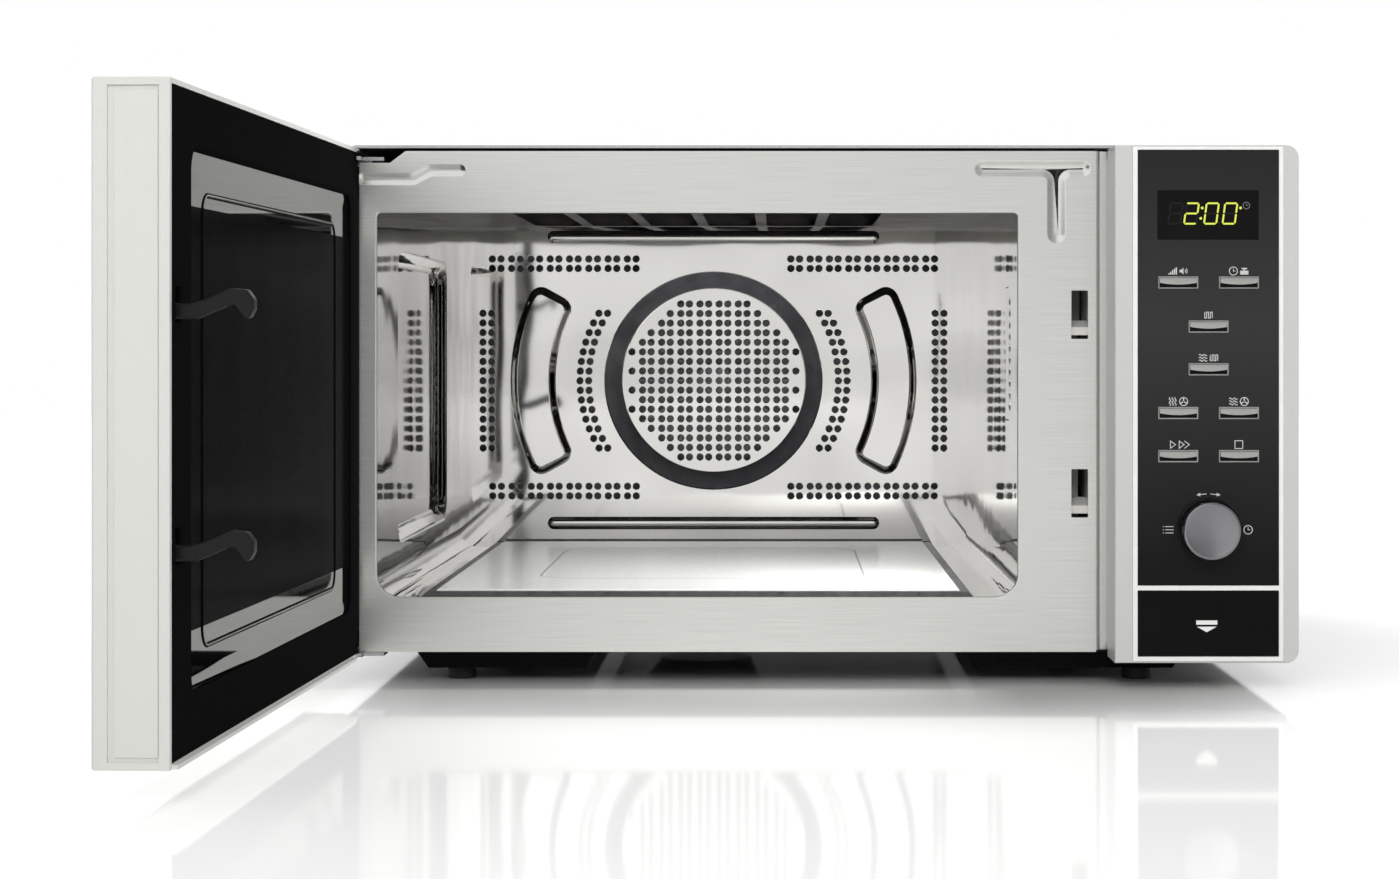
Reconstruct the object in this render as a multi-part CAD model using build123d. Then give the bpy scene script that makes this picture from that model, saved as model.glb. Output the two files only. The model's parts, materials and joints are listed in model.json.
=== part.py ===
from build123d import *
import math
import os

# Frame: millimetres, front faces -Y, right is +X, the feet stand on Z = 0,
# and Y = 0 is the front face of the steel front frame.

# Cabinet envelope
CABINET_LEFT = -260.0
CABINET_RIGHT = 260.0
COVER_TOP = 298.0
COVER_FRONT = 0.9
REAR_FACE = 474.0
SHEET = 0.8
GAP = 0.1
COVER_BEND = 6.0
COVER_FLANGE = 14.0
COVER_HEM = 8.0
SCREW_HEIGHTS = (40.0, 270.0)

# Front frame and oven cavity
FRAME_LEFT = -258.2
FRAME_RIGHT = 154.2
FRAME_BOTTOM = 18.0
FRAME_TOP = 294.7
FRAME_FLANGE = 12.0
NOTCH_Z = 288.2
NOTCH_INNER_X = -227.3
NOTCH_OUTER_X = -235.8
CAVITY_LEFT = -243.1
CAVITY_RIGHT = 110.8
CAVITY_MID = (CAVITY_LEFT + CAVITY_RIGHT) / 2
CAVITY_FLOOR = 47.0
CAVITY_ROOF = 270.0
CAVITY_REAR = 405.0
MOUTH_BOTTOM = 48.4
MOUTH_TOP = 260.5
MOUTH_CORNER = 12.7
MOUTH_TOP_CORNER = 2.0
PRESS_SLOPE = 35
FRAME_JOGGLE = 4.0
BEAD_DEPTH = 1.4
TEE_BAR = (87.25, 151.35, 280.45, 289.55)
TEE_STEM = (127.1, 137.7, 243.7, 285.0)
STEP_BEAD_LOWER = ((-243.0, 275.8), (-222.0, 275.8), (-214.0, 280.6), (-195.0, 280.6), (-194.0, 284.0))
STEP_BEAD_UPPER = ((-195.0, 287.4), (-217.0, 287.4), (-225.0, 282.8), (-243.0, 282.8), (-244.0, 279.3))
WALL_PRESS = (86.0, 330.0, 71.0, 243.0)
WALL_PRESS_CORNER = 10.0
WALL_PRESS_DEPTH = 3.0
WELL = (CAVITY_MID - 130.0, CAVITY_MID + 130.0, 70.0, 340.0)
WELL_DEPTH = 10.0
LAMP_PATCH = (42.0, 80.0, 144.0, 221.0)
LAMP_HOLE_START = (57.6, 152.3)
LAMP_HOLE_ROWS = 10
ROOF_WINDOWS = 6
ROOF_WINDOW_LEFT = -189.5
ROOF_WINDOW_WIDTH = 34.0
ROOF_WINDOW_PITCH = 40.0
ROOF_WINDOW_DEPTH = (60.0, 394.0)
PLATE = (CAVITY_MID - 146.0, CAVITY_MID + 146.0, 14.0, 396.0)
PLATE_THICK = 4.5
SEAL = (CAVITY_MID - 153.0, CAVITY_MID + 153.0, 6.0, 404.0)
SEAL_THICK = 3.6
SEAL_BEVEL = 2.4

# Latch slots in the front frame, and the hooks that go through them
SLOT_LEFT = 140.6
SLOT_RIGHT = 149.8
SLOT_HALF = 13.4
HOOK_HEIGHTS = (105.6, 204.3)
HOOK_LEFT = 141.7
HOOK_RIGHT = 148.7
HOOK_DROP = 6.3
HOOK_ARM = 6.5
HOOK_LIFT = 5.5
HOOK_SIDE = (
    (-9.0, 0.0), (6.0, 0.0), (19.0, 5.6), (21.5, 5.6), (25.5, 0.0), (28.0, 0.4), (29.8, 4.0), (29.8, 8.0),
    (27.0, 12.0), (20.0, 12.8), (10.0, 8.4), (3.0, HOOK_ARM), (-9.0, HOOK_ARM),
)
LEDGE_SIDE = ((SHEET + 2.0, -5.0), (22.5, -1.0), (22.5, 3.2), (18.0, 3.2), (7.0, -0.6), (SHEET + 2.0, -0.6))
KEY_DEPTH = (-14.0, -7.5)
KEY_HEIGHT = (94.0, 214.0)
FINGER_FRONT = 24.0
FINGER_GAP = 0.5
SLIDER_LEFT = 141.5
SLIDER_FRONT = 31.0
SLIDER_LOW = 48.0
TONGUE = (175.5, 182.5)

# Rear wall: intake disc, outlet holes and pressed forms
DISC_Z = 162.9
DISC_RIM = 76.1
DISC_FLAT = 63.9
DISC_RECESS = 12.0
DISC_SIDES = 36
DISC_ROWS = (8, 10, 12, 14, 16, 18, 16, 18, 16, 18, 16, 18, 16, 14, 12, 10, 8)
HOLE_RADIUS = 2.25
HOLE_SIDES = 4
PAIR_PITCH = 13.43
PAIR_GAP = 6.07
ROW_PITCH = 6.71
KIDNEY_INNER = 111.8
KIDNEY_OUTER = 141.5
KIDNEY_ANGLE = 29
KIDNEY_HEIGHT = 4.0
KIDNEY_CORNER = 6.0
KIDNEY_SIDES = 48
REAR_BEADS = (262.8, 63.6)
REAR_BEAD_LENGTH = 231.0
REAR_BEAD_WIDTH = 8.8
REAR_BEAD_HEIGHT = 3.0

# Control panel
PANEL_LEFT = 160.6
PANEL_RIGHT = 260.0
PANEL_BOTTOM = 15.7
PANEL_TOP = 295.6
PANEL_FRONT = -34.0
PANEL_WALL = 2.2
PANEL_CORNER = 7.0
TRIM_LEFT = 170.0
TRIM_RIGHT = 251.8
TRIM_BOTTOM = 16.5
TRIM_TOP = 295.0
FASCIA_LEFT = 172.8
FASCIA_RIGHT = 249.2
FASCIA_BOTTOM = 57.5
FASCIA_TOP = 293.1
FACE_DEPTH = 2.5
OPEN_BOTTOM = 19.1
OPEN_TOP = 54.9
DISPLAY = (183.5, 238.2, 244.4, 271.2)
BUTTON_WIDTH = 20.0
BUTTON_HEIGHT = 5.0
BUTTON_PROUD = 1.2
COLUMN_LEFT = 194.7
COLUMN_MID = 211.1
COLUMN_RIGHT = 227.5
BUTTON_PLACES = {
    "button_row1_left": (COLUMN_LEFT, 221.3),
    "button_row1_right": (COLUMN_RIGHT, 221.3),
    "button_row2": (COLUMN_MID, 197.5),
    "button_row3": (COLUMN_MID, 174.4),
    "button_row4_left": (COLUMN_LEFT, 150.8),
    "button_row4_right": (COLUMN_RIGHT, 150.8),
    "button_row5_left": (COLUMN_LEFT, 127.5),
    "button_row5_right": (COLUMN_RIGHT, 127.5),
}
KNOB_Z = 87.7
KNOB_RADIUS = 15.5
KNOB_FRONT = -48.0
KNOB_RING = 17.1
KNOB_STEM = 3.0
BOARD_FRONT = -14.0

# Door, measured closed, and the angle at which it stands open
DOOR_LEFT = -259.0
DOOR_RIGHT = 159.4
DOOR_INNER = -2.0
DOOR_WALL = 2.2
DOOR_EDGE = 3.4
EDGE_RECESS = (-27.5, -6.4)
EDGE_PAD = (-24.7, -6.9)
EDGE_BORDER = 3.1
EDGE_SUNK = 1.2
GLASS = (DOOR_LEFT + 10.0, DOOR_RIGHT - 12.0, PANEL_BOTTOM + 5.0, PANEL_TOP - 5.0)
DOOR_BOSS_LOWS = (60.0, 240.0)
CHOKE_OUTER = (-253.0, 134.0, 28.0, 283.0)
CHOKE_INNER = (-246.0, 126.0, 39.0, 272.0)
WINDOW_SHEET_BACK = -9.8
SIGHT = (-233.0, 117.0, 51.0, 260.0)
DOOR_PANEL_BACK = -25.0
DOOR_OPEN_ANGLE = 92.0
HINGE_X = -255.0
HINGE_Y = -4.5
HINGE_PIN = 2.5
HINGE_FIT = 0.05
HINGE_PLATE = 2.0
UPPER_BRACKET_Z = 289.3
LOWER_BRACKET_Z = 15.9
HINGE_LOBE = 5.0
BRACKET_RIGHT = -239.0
BRACKET_REAR = 14.0
LEG_RIGHT = -246.0
UPPER_LEG_LOW = 262.0
LOWER_LEG_HIGH = 44.0
WINDOW_LEFT = -243.0
WINDOW_RIGHT = 121.0
WINDOW_BOTTOM = 42.0
WINDOW_TOP = 269.0
BEAD_FRAME = (-206.0, 91.0, 57.0, 253.0)

# Mains lead bush in the rear panel
GLAND_X = 215.0
GLAND_Z = 60.0
GLAND_BORE = 3.7
GLAND_NECK = 7.9

# Base, feet and the works under the floor
BASE_Z = 18.0
BASE_SHEET = 1.0
FOOT_HEIGHT = 7.0
FOOT_RADIUS = 8.5
FOOT_TAPER = 5
FEET = ((-200.0, 35.0), (181.0, 35.0), (-200.0, 430.0), (181.0, 430.0))
RAILS = ((-224.0, -122.0), (83.0, 206.0))
RAIL_DEPTH = (12.0, 455.0)
RAIL_SLOPE = 30
BASE_NOTCH = (-236.0, 17.0)
POCKET_RADIUS = 36.0
STIRRER_Y = 205.0
SHAFT = 3.0
RUNNING_FIT = 0.05
FAN_X = 188.0
FAN_Z = 204.0
ROUND_SIDES = 12

# Works, each box as left, right, front, rear, low and high
DUCT_LEFT = -110.0
DUCT_RISER = (116.0, 140.0)
DUCT_TOP = 190.0
DUCT_DEPTH = (165.0, 245.0)
ANTENNA_Z = 150.0
ANTENNA_RADIUS = 9.0
PORT_RADIUS = 11.0
MAGNETRON = (146.0, 202.0, 160.0, 250.0, 108.0, 192.0)
MAGNETRON_POLE = 4.0
MAGNETRON_YOKE = 2.0
MAGNETRON_FINS = 5
FIN_PITCH = 8.0
FILTER_BOX = (202.0, 236.0, 182.0, 228.0, 122.0, 178.0)
CORE = (150.0, 240.0, 80.0, 140.0, 22.0, 102.0)
CORE_FOOT = (146.0, 244.0, 74.0, 146.0, BASE_Z + BASE_SHEET, 22.0)
CORE_WINDOWS = ((165.0, 173.0), (217.0, 225.0))
COIL_PLAN = (173.0, 217.0, 68.0, 152.0)
COIL_LOWS = (42.0, 64.0)
COIL_HEIGHT = 18.0
CAN_SIDE = (191.0, 245.0, 29.0, 63.0)
CAN_DEPTH = (176.0, 262.0)
CAN_STRAP = (192.0, 244.0, 210.0, 230.0, BASE_Z + BASE_SHEET, 30.0)
DIODE = (196.0, 240.0, 282.0, 290.0, 24.0, 32.0)
FAN_FRAME = 108.0
FAN_THROAT = 50.0
FAN_DEPTH = (446.0, REAR_FACE - SHEET)
FAN_MOTOR_SIZE = 44.0
FAN_MOTOR_FRONT = 420.0
FAN_BLADES = 6
FAN_BLADE = (34.0, 1.6, 20.0)
FAN_PITCH = 35
AIR_FAN_RADIUS = 60.0
AIR_FAN_DEPTH = 17.0
AIR_FAN_BLADES = 12
AIR_BLADE = (40.0, 16.4, 1.2)
AIR_BOX = (CAVITY_MID - 168.0, CAVITY_MID + 168.0, 74.0, 256.0)
AIR_BOX_REAR = 448.0
AIR_BOX_FLANGE = 8.0
HEATER_RADIUS = 84.0
HEATER_ROD = 6.0
HEATER_FRONT = 426.0
HEATER_END_REACH = 12.0
AIR_MOTOR_RADIUS = 26.0
AIR_MOTOR_REAR = 468.0
PADDLE_RADIUS = 92.0
PADDLE_Z = 40.0
PADDLE_WINDOW = (26.0, 90.0)
PADDLE_WINDOW_REACH = 48.0
GRILL_ROWS = (145.0, 265.0)
GRILL_Z = 282.0
GRILL_TUBE = 5.5
GRILL_CAP = 8.0
GRILL_CAP_LENGTH = 16.0
GRILL_ENDS = (-196.0, 57.0)
GRILL_BOX = (-197.0, 58.0, 46.0, 396.0)
GRILL_BOX_TOP = 293.0
GRILL_RIM = 8.0
LAMP_HOLDER = (114.0, 150.0, 46.0, 76.0, 196.0, 224.0)
LAMP_AXIS = (132.0, 61.0)
LAMP_RADIUS = 9.0
LAMP_LOW = 170.0
FILTER_BOARD = (158.0, 236.0, 390.0, 392.0, 24.0, 84.0)
CARRIER_LEFT = 126.0
CARRIER_RIGHT = 153.4
CARRIER_LOW = 64.0
CARRIER_HIGH = 232.0
CARRIER_DEPTH = 48.0
SWITCH_LOWS = (98.0, 146.0, 196.0)
SWITCH = (10.3, 27.8, 15.9)
SWITCH_FRONT = 17.0

# Louvre slots in the cover, the rear panel and the base
LOUVRE = 4.0
LOUVRE_PITCH = 9.0
COVER_LOUVRES = ((360.0, 400.0), (408.0, 448.0))
COVER_LOUVRE_LOW = 200.0
COVER_LOUVRE_ROWS = 6
FAN_LOUVRES = ((140.0, 184.0), (192.0, 236.0))
FAN_LOUVRE_LOW = 160.0
FAN_LOUVRE_ROWS = 7
STEAM_LOUVRE = (-100.0, -32.0)
STEAM_LOUVRE_LOW = 240.0
STEAM_LOUVRE_ROWS = 4
BASE_LOUVRE = (212.0, 246.0)
BASE_LOUVRE_FRONT = 120.0
BASE_LOUVRE_ROWS = 7


def rect(left, right, low, high, radius=0.0):
    # Rectangle between two corners, with rounded corners where a radius is given
    width = right - left
    height = high - low
    shape = RectangleRounded(width, height, radius) if radius else Rectangle(width, height)
    return Pos((left + right) / 2, (low + high) / 2) * shape


def along_x(sketch, start, end):
    return extrude(Plane.YZ.offset(start) * sketch, amount=end - start)


def along_y(sketch, start, end):
    return extrude(Plane.XZ.offset(-end) * sketch, amount=end - start)


def along_z(sketch, start, end):
    return extrude(Pos(0, 0, start) * sketch, amount=end - start)


def block(left, right, front, rear, low, high):
    return along_z(rect(left, right, front, rear), low, high)


def rod_y(x, z, radius, start, end):
    return along_y(Pos(x, z) * Circle(radius), start, end)


def rod_z(x, y, radius, start, end):
    return along_z(Pos(x, y) * Circle(radius), start, end)


def plain_round(x, y, radius):
    # Plain round outline of few sides, for pieces that nothing turns in
    return Pos(x, y) * RegularPolygon(radius, ROUND_SIDES)


def rounded_bottom(left, right, low, high, bottom_radius, top_radius):
    # Rectangle with one radius at its two low corners and another at its two high corners
    shape = rect(left, right, low, high)
    shape = fillet(shape.vertices().sort_by(Axis.Y)[:2], bottom_radius)
    return fillet(shape.vertices().group_by(Axis.Y)[-1], top_radius)


def cavity_section(thickness):
    # The cavity's section up to its roof, rounded at its two low corners
    shape = rect(CAVITY_LEFT - thickness, CAVITY_RIGHT + thickness, CAVITY_FLOOR - thickness, CAVITY_ROOF)
    return fillet(shape.vertices().group_by(Axis.Y)[0], MOUTH_CORNER + thickness)


def pressed_y(plate, sketch, face, depth, slope=PRESS_SLOPE):
    # Presses an outline into a sheet that stands across Y: a boss on one side, its hollow on the other
    way = 1 if depth > 0 else -1
    start = face if depth > 0 else face + SHEET
    hollow = offset(sketch, -SHEET)
    boss = extrude(Plane.XZ.offset(-start) * sketch, amount=-depth - way * SHEET, taper=slope)
    inside = extrude(Plane.XZ.offset(-start) * hollow, amount=-depth, taper=slope)
    return plate + boss - inside


def pressed_x(plate, sketch, face, depth):
    # The same for a side wall whose inner face stands at X = face
    way = 1 if depth > 0 else -1
    boss = extrude(Plane.YZ.offset(face) * sketch, amount=depth + way * SHEET, taper=PRESS_SLOPE)
    inside = extrude(Plane.YZ.offset(face) * offset(sketch, -SHEET), amount=depth, taper=PRESS_SLOPE)
    return plate + boss - inside


def hole_wire(x, z):
    # One perforation, as a closed polygon of HOLE_SIDES sides
    turn = 2 * math.pi / HOLE_SIDES
    corners = []
    for side in range(HOLE_SIDES):
        angle = turn * (side + 0.5)
        corners.append((x + HOLE_RADIUS * math.cos(angle), z + HOLE_RADIUS * math.sin(angle)))
    return Wire.make_polygon(corners, close=True)


def paired_offsets(count):
    # Distances from the middle of a row of paired holes, on one side
    offsets = []
    for index in range(count):
        pair, second = divmod(index, 2)
        offsets.append(PAIR_PITCH * (pair + 0.5) + (second - 0.5) * PAIR_GAP)
    return offsets


def disc_holes():
    places = []
    for row, count in enumerate(DISC_ROWS):
        z = DISC_Z + ROW_PITCH * ((len(DISC_ROWS) - 1) / 2 - row)
        for reach in paired_offsets(count // 2):
            places += [(CAVITY_MID - reach, z), (CAVITY_MID + reach, z)]
    return places


def front_frame():
    # Folded sheet with the cavity mouth, latch slots, a flange at the top, and two pressed stiffening beads
    outline = make_face(Polyline(
        (FRAME_LEFT, FRAME_BOTTOM), (FRAME_RIGHT, FRAME_BOTTOM), (FRAME_RIGHT, FRAME_TOP),
        (NOTCH_INNER_X, FRAME_TOP), (NOTCH_OUTER_X, NOTCH_Z), (FRAME_LEFT, NOTCH_Z), close=True))
    outline -= rounded_bottom(
        CAVITY_LEFT, CAVITY_RIGHT, MOUTH_BOTTOM, MOUTH_TOP, MOUTH_CORNER, MOUTH_TOP_CORNER)
    for height in HOOK_HEIGHTS:
        outline -= rect(SLOT_LEFT, SLOT_RIGHT, height - SLOT_HALF, height + SLOT_HALF)
    frame = along_y(outline, 0, SHEET)
    frame += block(NOTCH_INNER_X, FRAME_RIGHT, 0, FRAME_FLANGE, FRAME_TOP - SHEET, FRAME_TOP)
    low = BASE_Z + BASE_SHEET
    back = FRAME_JOGGLE + SHEET
    frame += block(FRAME_RIGHT - SHEET, FRAME_RIGHT, 0, back, low, FRAME_TOP)
    frame += block(FRAME_RIGHT - SHEET, PANEL_LEFT + PANEL_WALL, FRAME_JOGGLE, back, low, FRAME_TOP)
    frame = pressed_y(frame, rect(*TEE_BAR) + rect(*TEE_STEM), 0, BEAD_DEPTH)
    step = make_face(Polyline(*STEP_BEAD_LOWER, *STEP_BEAD_UPPER, close=True))
    return pressed_y(frame, step, 0, BEAD_DEPTH)


def cavity_wrap():
    # Both side walls and the floor in one bent sheet
    outer = cavity_section(SHEET)
    inner = cavity_section(0)
    wrap = along_y(outer - inner, SHEET, CAVITY_REAR)
    panel = chamfer(rect(*WALL_PRESS).vertices(), WALL_PRESS_CORNER)
    wrap = pressed_x(wrap, panel, CAVITY_LEFT, -WALL_PRESS_DEPTH)
    wrap = pressed_x(wrap, panel, CAVITY_RIGHT, WALL_PRESS_DEPTH)
    wrap -= along_z(rect(*WELL), CAVITY_FLOOR - 2, CAVITY_FLOOR + 1)
    return wrap - along_x(rect(*LAMP_PATCH), CAVITY_RIGHT - 1, CAVITY_RIGHT + 2)


def cavity_roof():
    # Sheet with long windows under the grill tubes
    plan = rect(CAVITY_LEFT - SHEET, CAVITY_RIGHT + SHEET, SHEET, CAVITY_REAR)
    for window in range(ROOF_WINDOWS):
        left = ROOF_WINDOW_LEFT + ROOF_WINDOW_PITCH * window
        plan -= rect(left, left + ROOF_WINDOW_WIDTH, *ROOF_WINDOW_DEPTH)
    return along_z(plan, CAVITY_ROOF, CAVITY_ROOF + SHEET)


def on_ray(corner, angle):
    # Whether a corner of the kidney lies on one of its two straight ends
    return abs(abs(math.degrees(math.atan2(corner.Y, corner.X))) - angle) < 0.01


def cavity_rear_wall():
    # Sheet with a dished and perforated intake disc, two kidney presses and two long beads
    rear = CAVITY_REAR + SHEET
    outer = rect(CAVITY_LEFT - SHEET, CAVITY_RIGHT + SHEET, CAVITY_FLOOR - SHEET, CAVITY_ROOF + SHEET)
    wall = along_y(outer, CAVITY_REAR, rear)
    middle = Pos(CAVITY_MID, DISC_Z)
    dish = middle * RegularPolygon(DISC_RIM, DISC_SIDES)
    slope = math.degrees(math.atan2(DISC_RIM - SHEET - DISC_FLAT, DISC_RECESS))
    wall = pressed_y(wall, dish, CAVITY_REAR, DISC_RECESS, slope)
    through = rear + DISC_RECESS + 1
    wall -= [along_y(Face(hole_wire(x, z)), CAVITY_REAR, through) for x, z in disc_holes()]
    reach = KIDNEY_OUTER * 2
    spread = reach * math.tan(math.radians(KIDNEY_ANGLE))
    wedge = make_face(Polyline((0, 0), (reach, -spread), (reach, spread), close=True))
    ring = RegularPolygon(KIDNEY_OUTER, KIDNEY_SIDES) - RegularPolygon(KIDNEY_INNER, KIDNEY_SIDES)
    kidney = ring & wedge
    ends = [corner for corner in kidney.vertices() if on_ray(corner, KIDNEY_ANGLE)]
    kidney = chamfer(ends, KIDNEY_CORNER)
    for side in (0, 180):
        wall = pressed_y(wall, middle * Rot(0, 0, side) * kidney, CAVITY_REAR, -KIDNEY_HEIGHT)
    for z in REAR_BEADS:
        bead = Pos(CAVITY_MID, z) * Rectangle(REAR_BEAD_LENGTH, REAR_BEAD_WIDTH)
        wall = pressed_y(wall, bead, CAVITY_REAR, -REAR_BEAD_HEIGHT + SHEET)
    return wall


def louvres(start, end, low, rows):
    # A bank of level slots
    slots = Sketch()
    for row in range(rows):
        slots += rect(start, end, low + LOUVRE_PITCH * row, low + LOUVRE_PITCH * row + LOUVRE)
    return slots


def outer_cover():
    # Top and sides in one bent sheet: hemmed at the front, flanged over the rear panel, louvred at each side
    outer = rect(CABINET_LEFT, CABINET_RIGHT, BASE_Z, COVER_TOP)
    outer = fillet(outer.vertices().group_by(Axis.Y)[-1], COVER_BEND)
    inner = rect(CABINET_LEFT + SHEET, CABINET_RIGHT - SHEET, BASE_Z - 1, COVER_TOP - SHEET)
    inner = fillet(inner.vertices().group_by(Axis.Y)[-1], COVER_BEND - SHEET)
    cover = along_y(outer - inner, COVER_FRONT, REAR_FACE)
    fold = inner - offset(inner, -SHEET)
    fold &= rect(CABINET_LEFT, CABINET_RIGHT, BASE_Z + 2 * BASE_SHEET, COVER_TOP)
    cover += along_y(fold, COVER_FRONT, COVER_FRONT + COVER_HEM)
    opening = rect(
        CABINET_LEFT + COVER_FLANGE, CABINET_RIGHT - COVER_FLANGE, BASE_Z - 1, COVER_TOP - COVER_FLANGE)
    cover += along_y(outer - opening, REAR_FACE, REAR_FACE + SHEET)
    slots = Sketch()
    for front, rear in COVER_LOUVRES:
        slots += louvres(front, rear, COVER_LOUVRE_LOW, COVER_LOUVRE_ROWS)
    for wall in (CABINET_LEFT, CABINET_RIGHT):
        cover -= along_x(slots, wall - 2, wall + 2)
    return cover


def base_plate():
    # Steel tray with two pressed rails that carry the feet, and a round pocket for the stirrer motor
    top = BASE_Z + BASE_SHEET
    side = CABINET_RIGHT - SHEET
    tray = block(-side, side, SHEET, REAR_FACE, BASE_Z, top)
    tray -= block(-side - 1, BASE_NOTCH[0], 0, BASE_NOTCH[1], BASE_Z - 1, top + 1)
    drop = BASE_Z - FOOT_HEIGHT
    forms = [rect(left, right, *RAIL_DEPTH) for left, right in RAILS]
    forms.append(plain_round(CAVITY_MID, STIRRER_Y, POCKET_RADIUS))
    for form in forms:
        boss = extrude(Pos(0, 0, top) * form, amount=-drop - BASE_SHEET, taper=RAIL_SLOPE)
        inside = extrude(Pos(0, 0, top) * offset(form, -BASE_SHEET), amount=-drop, taper=RAIL_SLOPE)
        tray = tray + boss - inside
    return tray - along_z(louvres(*BASE_LOUVRE, BASE_LOUVRE_FRONT, BASE_LOUVRE_ROWS), BASE_Z - 1, top + 1)


def rear_panel():
    # Sheet with louvres behind the fan and for the cavity's steam, and a hole for the lead's bush
    side = CABINET_RIGHT - SHEET - GAP
    shape = rect(-side, side, BASE_Z + BASE_SHEET, COVER_TOP - SHEET - GAP)
    shape = fillet(shape.vertices().group_by(Axis.Y)[-1], COVER_BEND - SHEET)
    shape -= plain_round(GLAND_X, GLAND_Z, GLAND_NECK + GAP)
    for left, right in FAN_LOUVRES:
        shape -= louvres(left, right, FAN_LOUVRE_LOW, FAN_LOUVRE_ROWS)
    shape -= louvres(*STEAM_LOUVRE, STEAM_LOUVRE_LOW, STEAM_LOUVRE_ROWS)
    return along_y(shape, REAR_FACE - SHEET, REAR_FACE)


def feet():
    # Moulded feet that taper towards the base
    foot = extrude(RegularPolygon(FOOT_RADIUS, ROUND_SIDES), amount=FOOT_HEIGHT, taper=FOOT_TAPER)
    return [Pos(x, y, 0) * foot for x, y in FEET]


def hinge_bracket(low, leg_low, leg_high):
    # Steel plate that carries one door pin, with a leg screwed behind the front frame
    left = CABINET_LEFT + 2 * SHEET + GAP
    lobe = plain_round(HINGE_X, HINGE_Y, HINGE_LOBE) + rect(left, HINGE_X + HINGE_LOBE, HINGE_Y, 4)
    plan = lobe + rect(left, BRACKET_RIGHT, -1.2, BRACKET_REAR)
    plan -= Pos(HINGE_X, HINGE_Y) * Circle(HINGE_PIN + HINGE_FIT)
    plate = along_z(plan, low, low + HINGE_PLATE)
    return plate + block(left, LEG_RIGHT, SHEET, SHEET + HINGE_PLATE, leg_low, leg_high)


def hinge_brackets():
    upper = hinge_bracket(UPPER_BRACKET_Z, UPPER_LEG_LOW, UPPER_BRACKET_Z + HINGE_PLATE)
    lower = hinge_bracket(LOWER_BRACKET_Z, LOWER_BRACKET_Z, LOWER_LEG_HIGH)
    return [upper, lower]


def ceramic_floor():
    plate = along_z(rect(*PLATE), CAVITY_FLOOR, CAVITY_FLOOR + PLATE_THICK)
    return chamfer(plate.faces().sort_by(Axis.Z)[-1].edges(), 0.8)


def floor_seal():
    # Silicone bead round the ceramic plate
    seal = along_z(rect(*SEAL) - rect(*PLATE), CAVITY_FLOOR, CAVITY_FLOOR + SEAL_THICK)
    outside = seal.faces().sort_by(Axis.Z)[-1].outer_wire().edges()
    return chamfer(outside, SEAL_BEVEL)


def stirrer_well():
    # Pressed tray under the floor, where the antenna turns
    top = CAVITY_FLOOR - SHEET
    pan = rect(*WELL)
    tray = along_z(offset(pan, 10, kind=Kind.INTERSECTION), top - SHEET, top)
    tray += extrude(Pos(0, 0, top - SHEET) * pan, amount=-WELL_DEPTH, taper=25)
    tray -= extrude(Pos(0, 0, top) * offset(pan, -SHEET), amount=-WELL_DEPTH, taper=25)
    return tray - along_z(plain_round(CAVITY_MID, STIRRER_Y, PORT_RADIUS), BASE_Z, top)


def waveguide():
    # Duct that rises beside the cavity to the magnetron and runs under the floor to the antenna
    low = BASE_Z + 2.5
    high = CAVITY_FLOOR - 2 * SHEET - WELL_DEPTH
    inside, outside = DUCT_RISER
    front, rear = DUCT_DEPTH
    path = make_face(Polyline(
        (DUCT_LEFT, low), (outside, low), (outside, DUCT_TOP), (inside, DUCT_TOP), (inside, high),
        (DUCT_LEFT, high), close=True))
    duct = along_y(path, front, rear)
    duct -= along_y(offset(path, -SHEET, kind=Kind.INTERSECTION), front + SHEET, rear - SHEET)
    duct -= along_z(plain_round(CAVITY_MID, STIRRER_Y, PORT_RADIUS), high - 2, high + 1)
    duct -= along_z(plain_round(CAVITY_MID, STIRRER_Y, SHAFT + 1), low - 1, low + 2)
    return duct - along_x(plain_round(STIRRER_Y, ANTENNA_Z, ANTENNA_RADIUS + 3), outside - 2, outside + 2)


def magnetron():
    # Yoke, pole plates, cooling fins, antenna and filter box
    left, right, front, rear, low, high = MAGNETRON
    side = rect(front, rear, low, high)
    body = along_x(side - offset(side, -MAGNETRON_YOKE), left, right)
    body += along_x(side, left, left + MAGNETRON_POLE) + along_x(side, right - MAGNETRON_POLE, right)
    fin = offset(side, -1)
    for index in range(MAGNETRON_FINS):
        start = left + 11 + FIN_PITCH * index
        body += along_x(fin, start, start + 1)
    body += along_x(plain_round(STIRRER_Y, ANTENNA_Z, 20), left - 6, left + 1)
    body += along_x(plain_round(STIRRER_Y, ANTENNA_Z, ANTENNA_RADIUS), DUCT_RISER[0] + 4, left - 5)
    return body + block(*FILTER_BOX)


def transformer():
    # Laminated core with two coils round its middle leg, on a foot plate
    core = block(*CORE)
    for low in COIL_LOWS:
        core += along_z(chamfer(rect(*COIL_PLAN).vertices(), 8), low, low + COIL_HEIGHT)
    window_top = COIL_LOWS[-1] + COIL_HEIGHT + 2
    for left, right in CORE_WINDOWS:
        core -= block(left, right, COIL_PLAN[2] + 2, COIL_PLAN[3] - 2, COIL_LOWS[0] - 2, window_top)
    return core + block(*CORE_FOOT)


def capacitor():
    # Flat-sided can in a strap, with two terminals
    end = CAN_DEPTH[1]
    can = along_y(chamfer(rect(*CAN_SIDE).vertices(), 10), *CAN_DEPTH)
    for left in (200, 230):
        can += block(left, left + 6, end, end + 10, 42, 50)
    return can + block(*CAN_STRAP)


def rectifier_diode():
    # Diode on an upright tag, with its lead
    left, right, front, rear, low, high = DIODE
    tag = block(left + 16, left + 22, front - 6, rear + 6, BASE_Z + BASE_SHEET, low)
    return block(*DIODE) + tag + block(right, right + 10, front + 3, front + 5, low + 3, low + 5)


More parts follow.
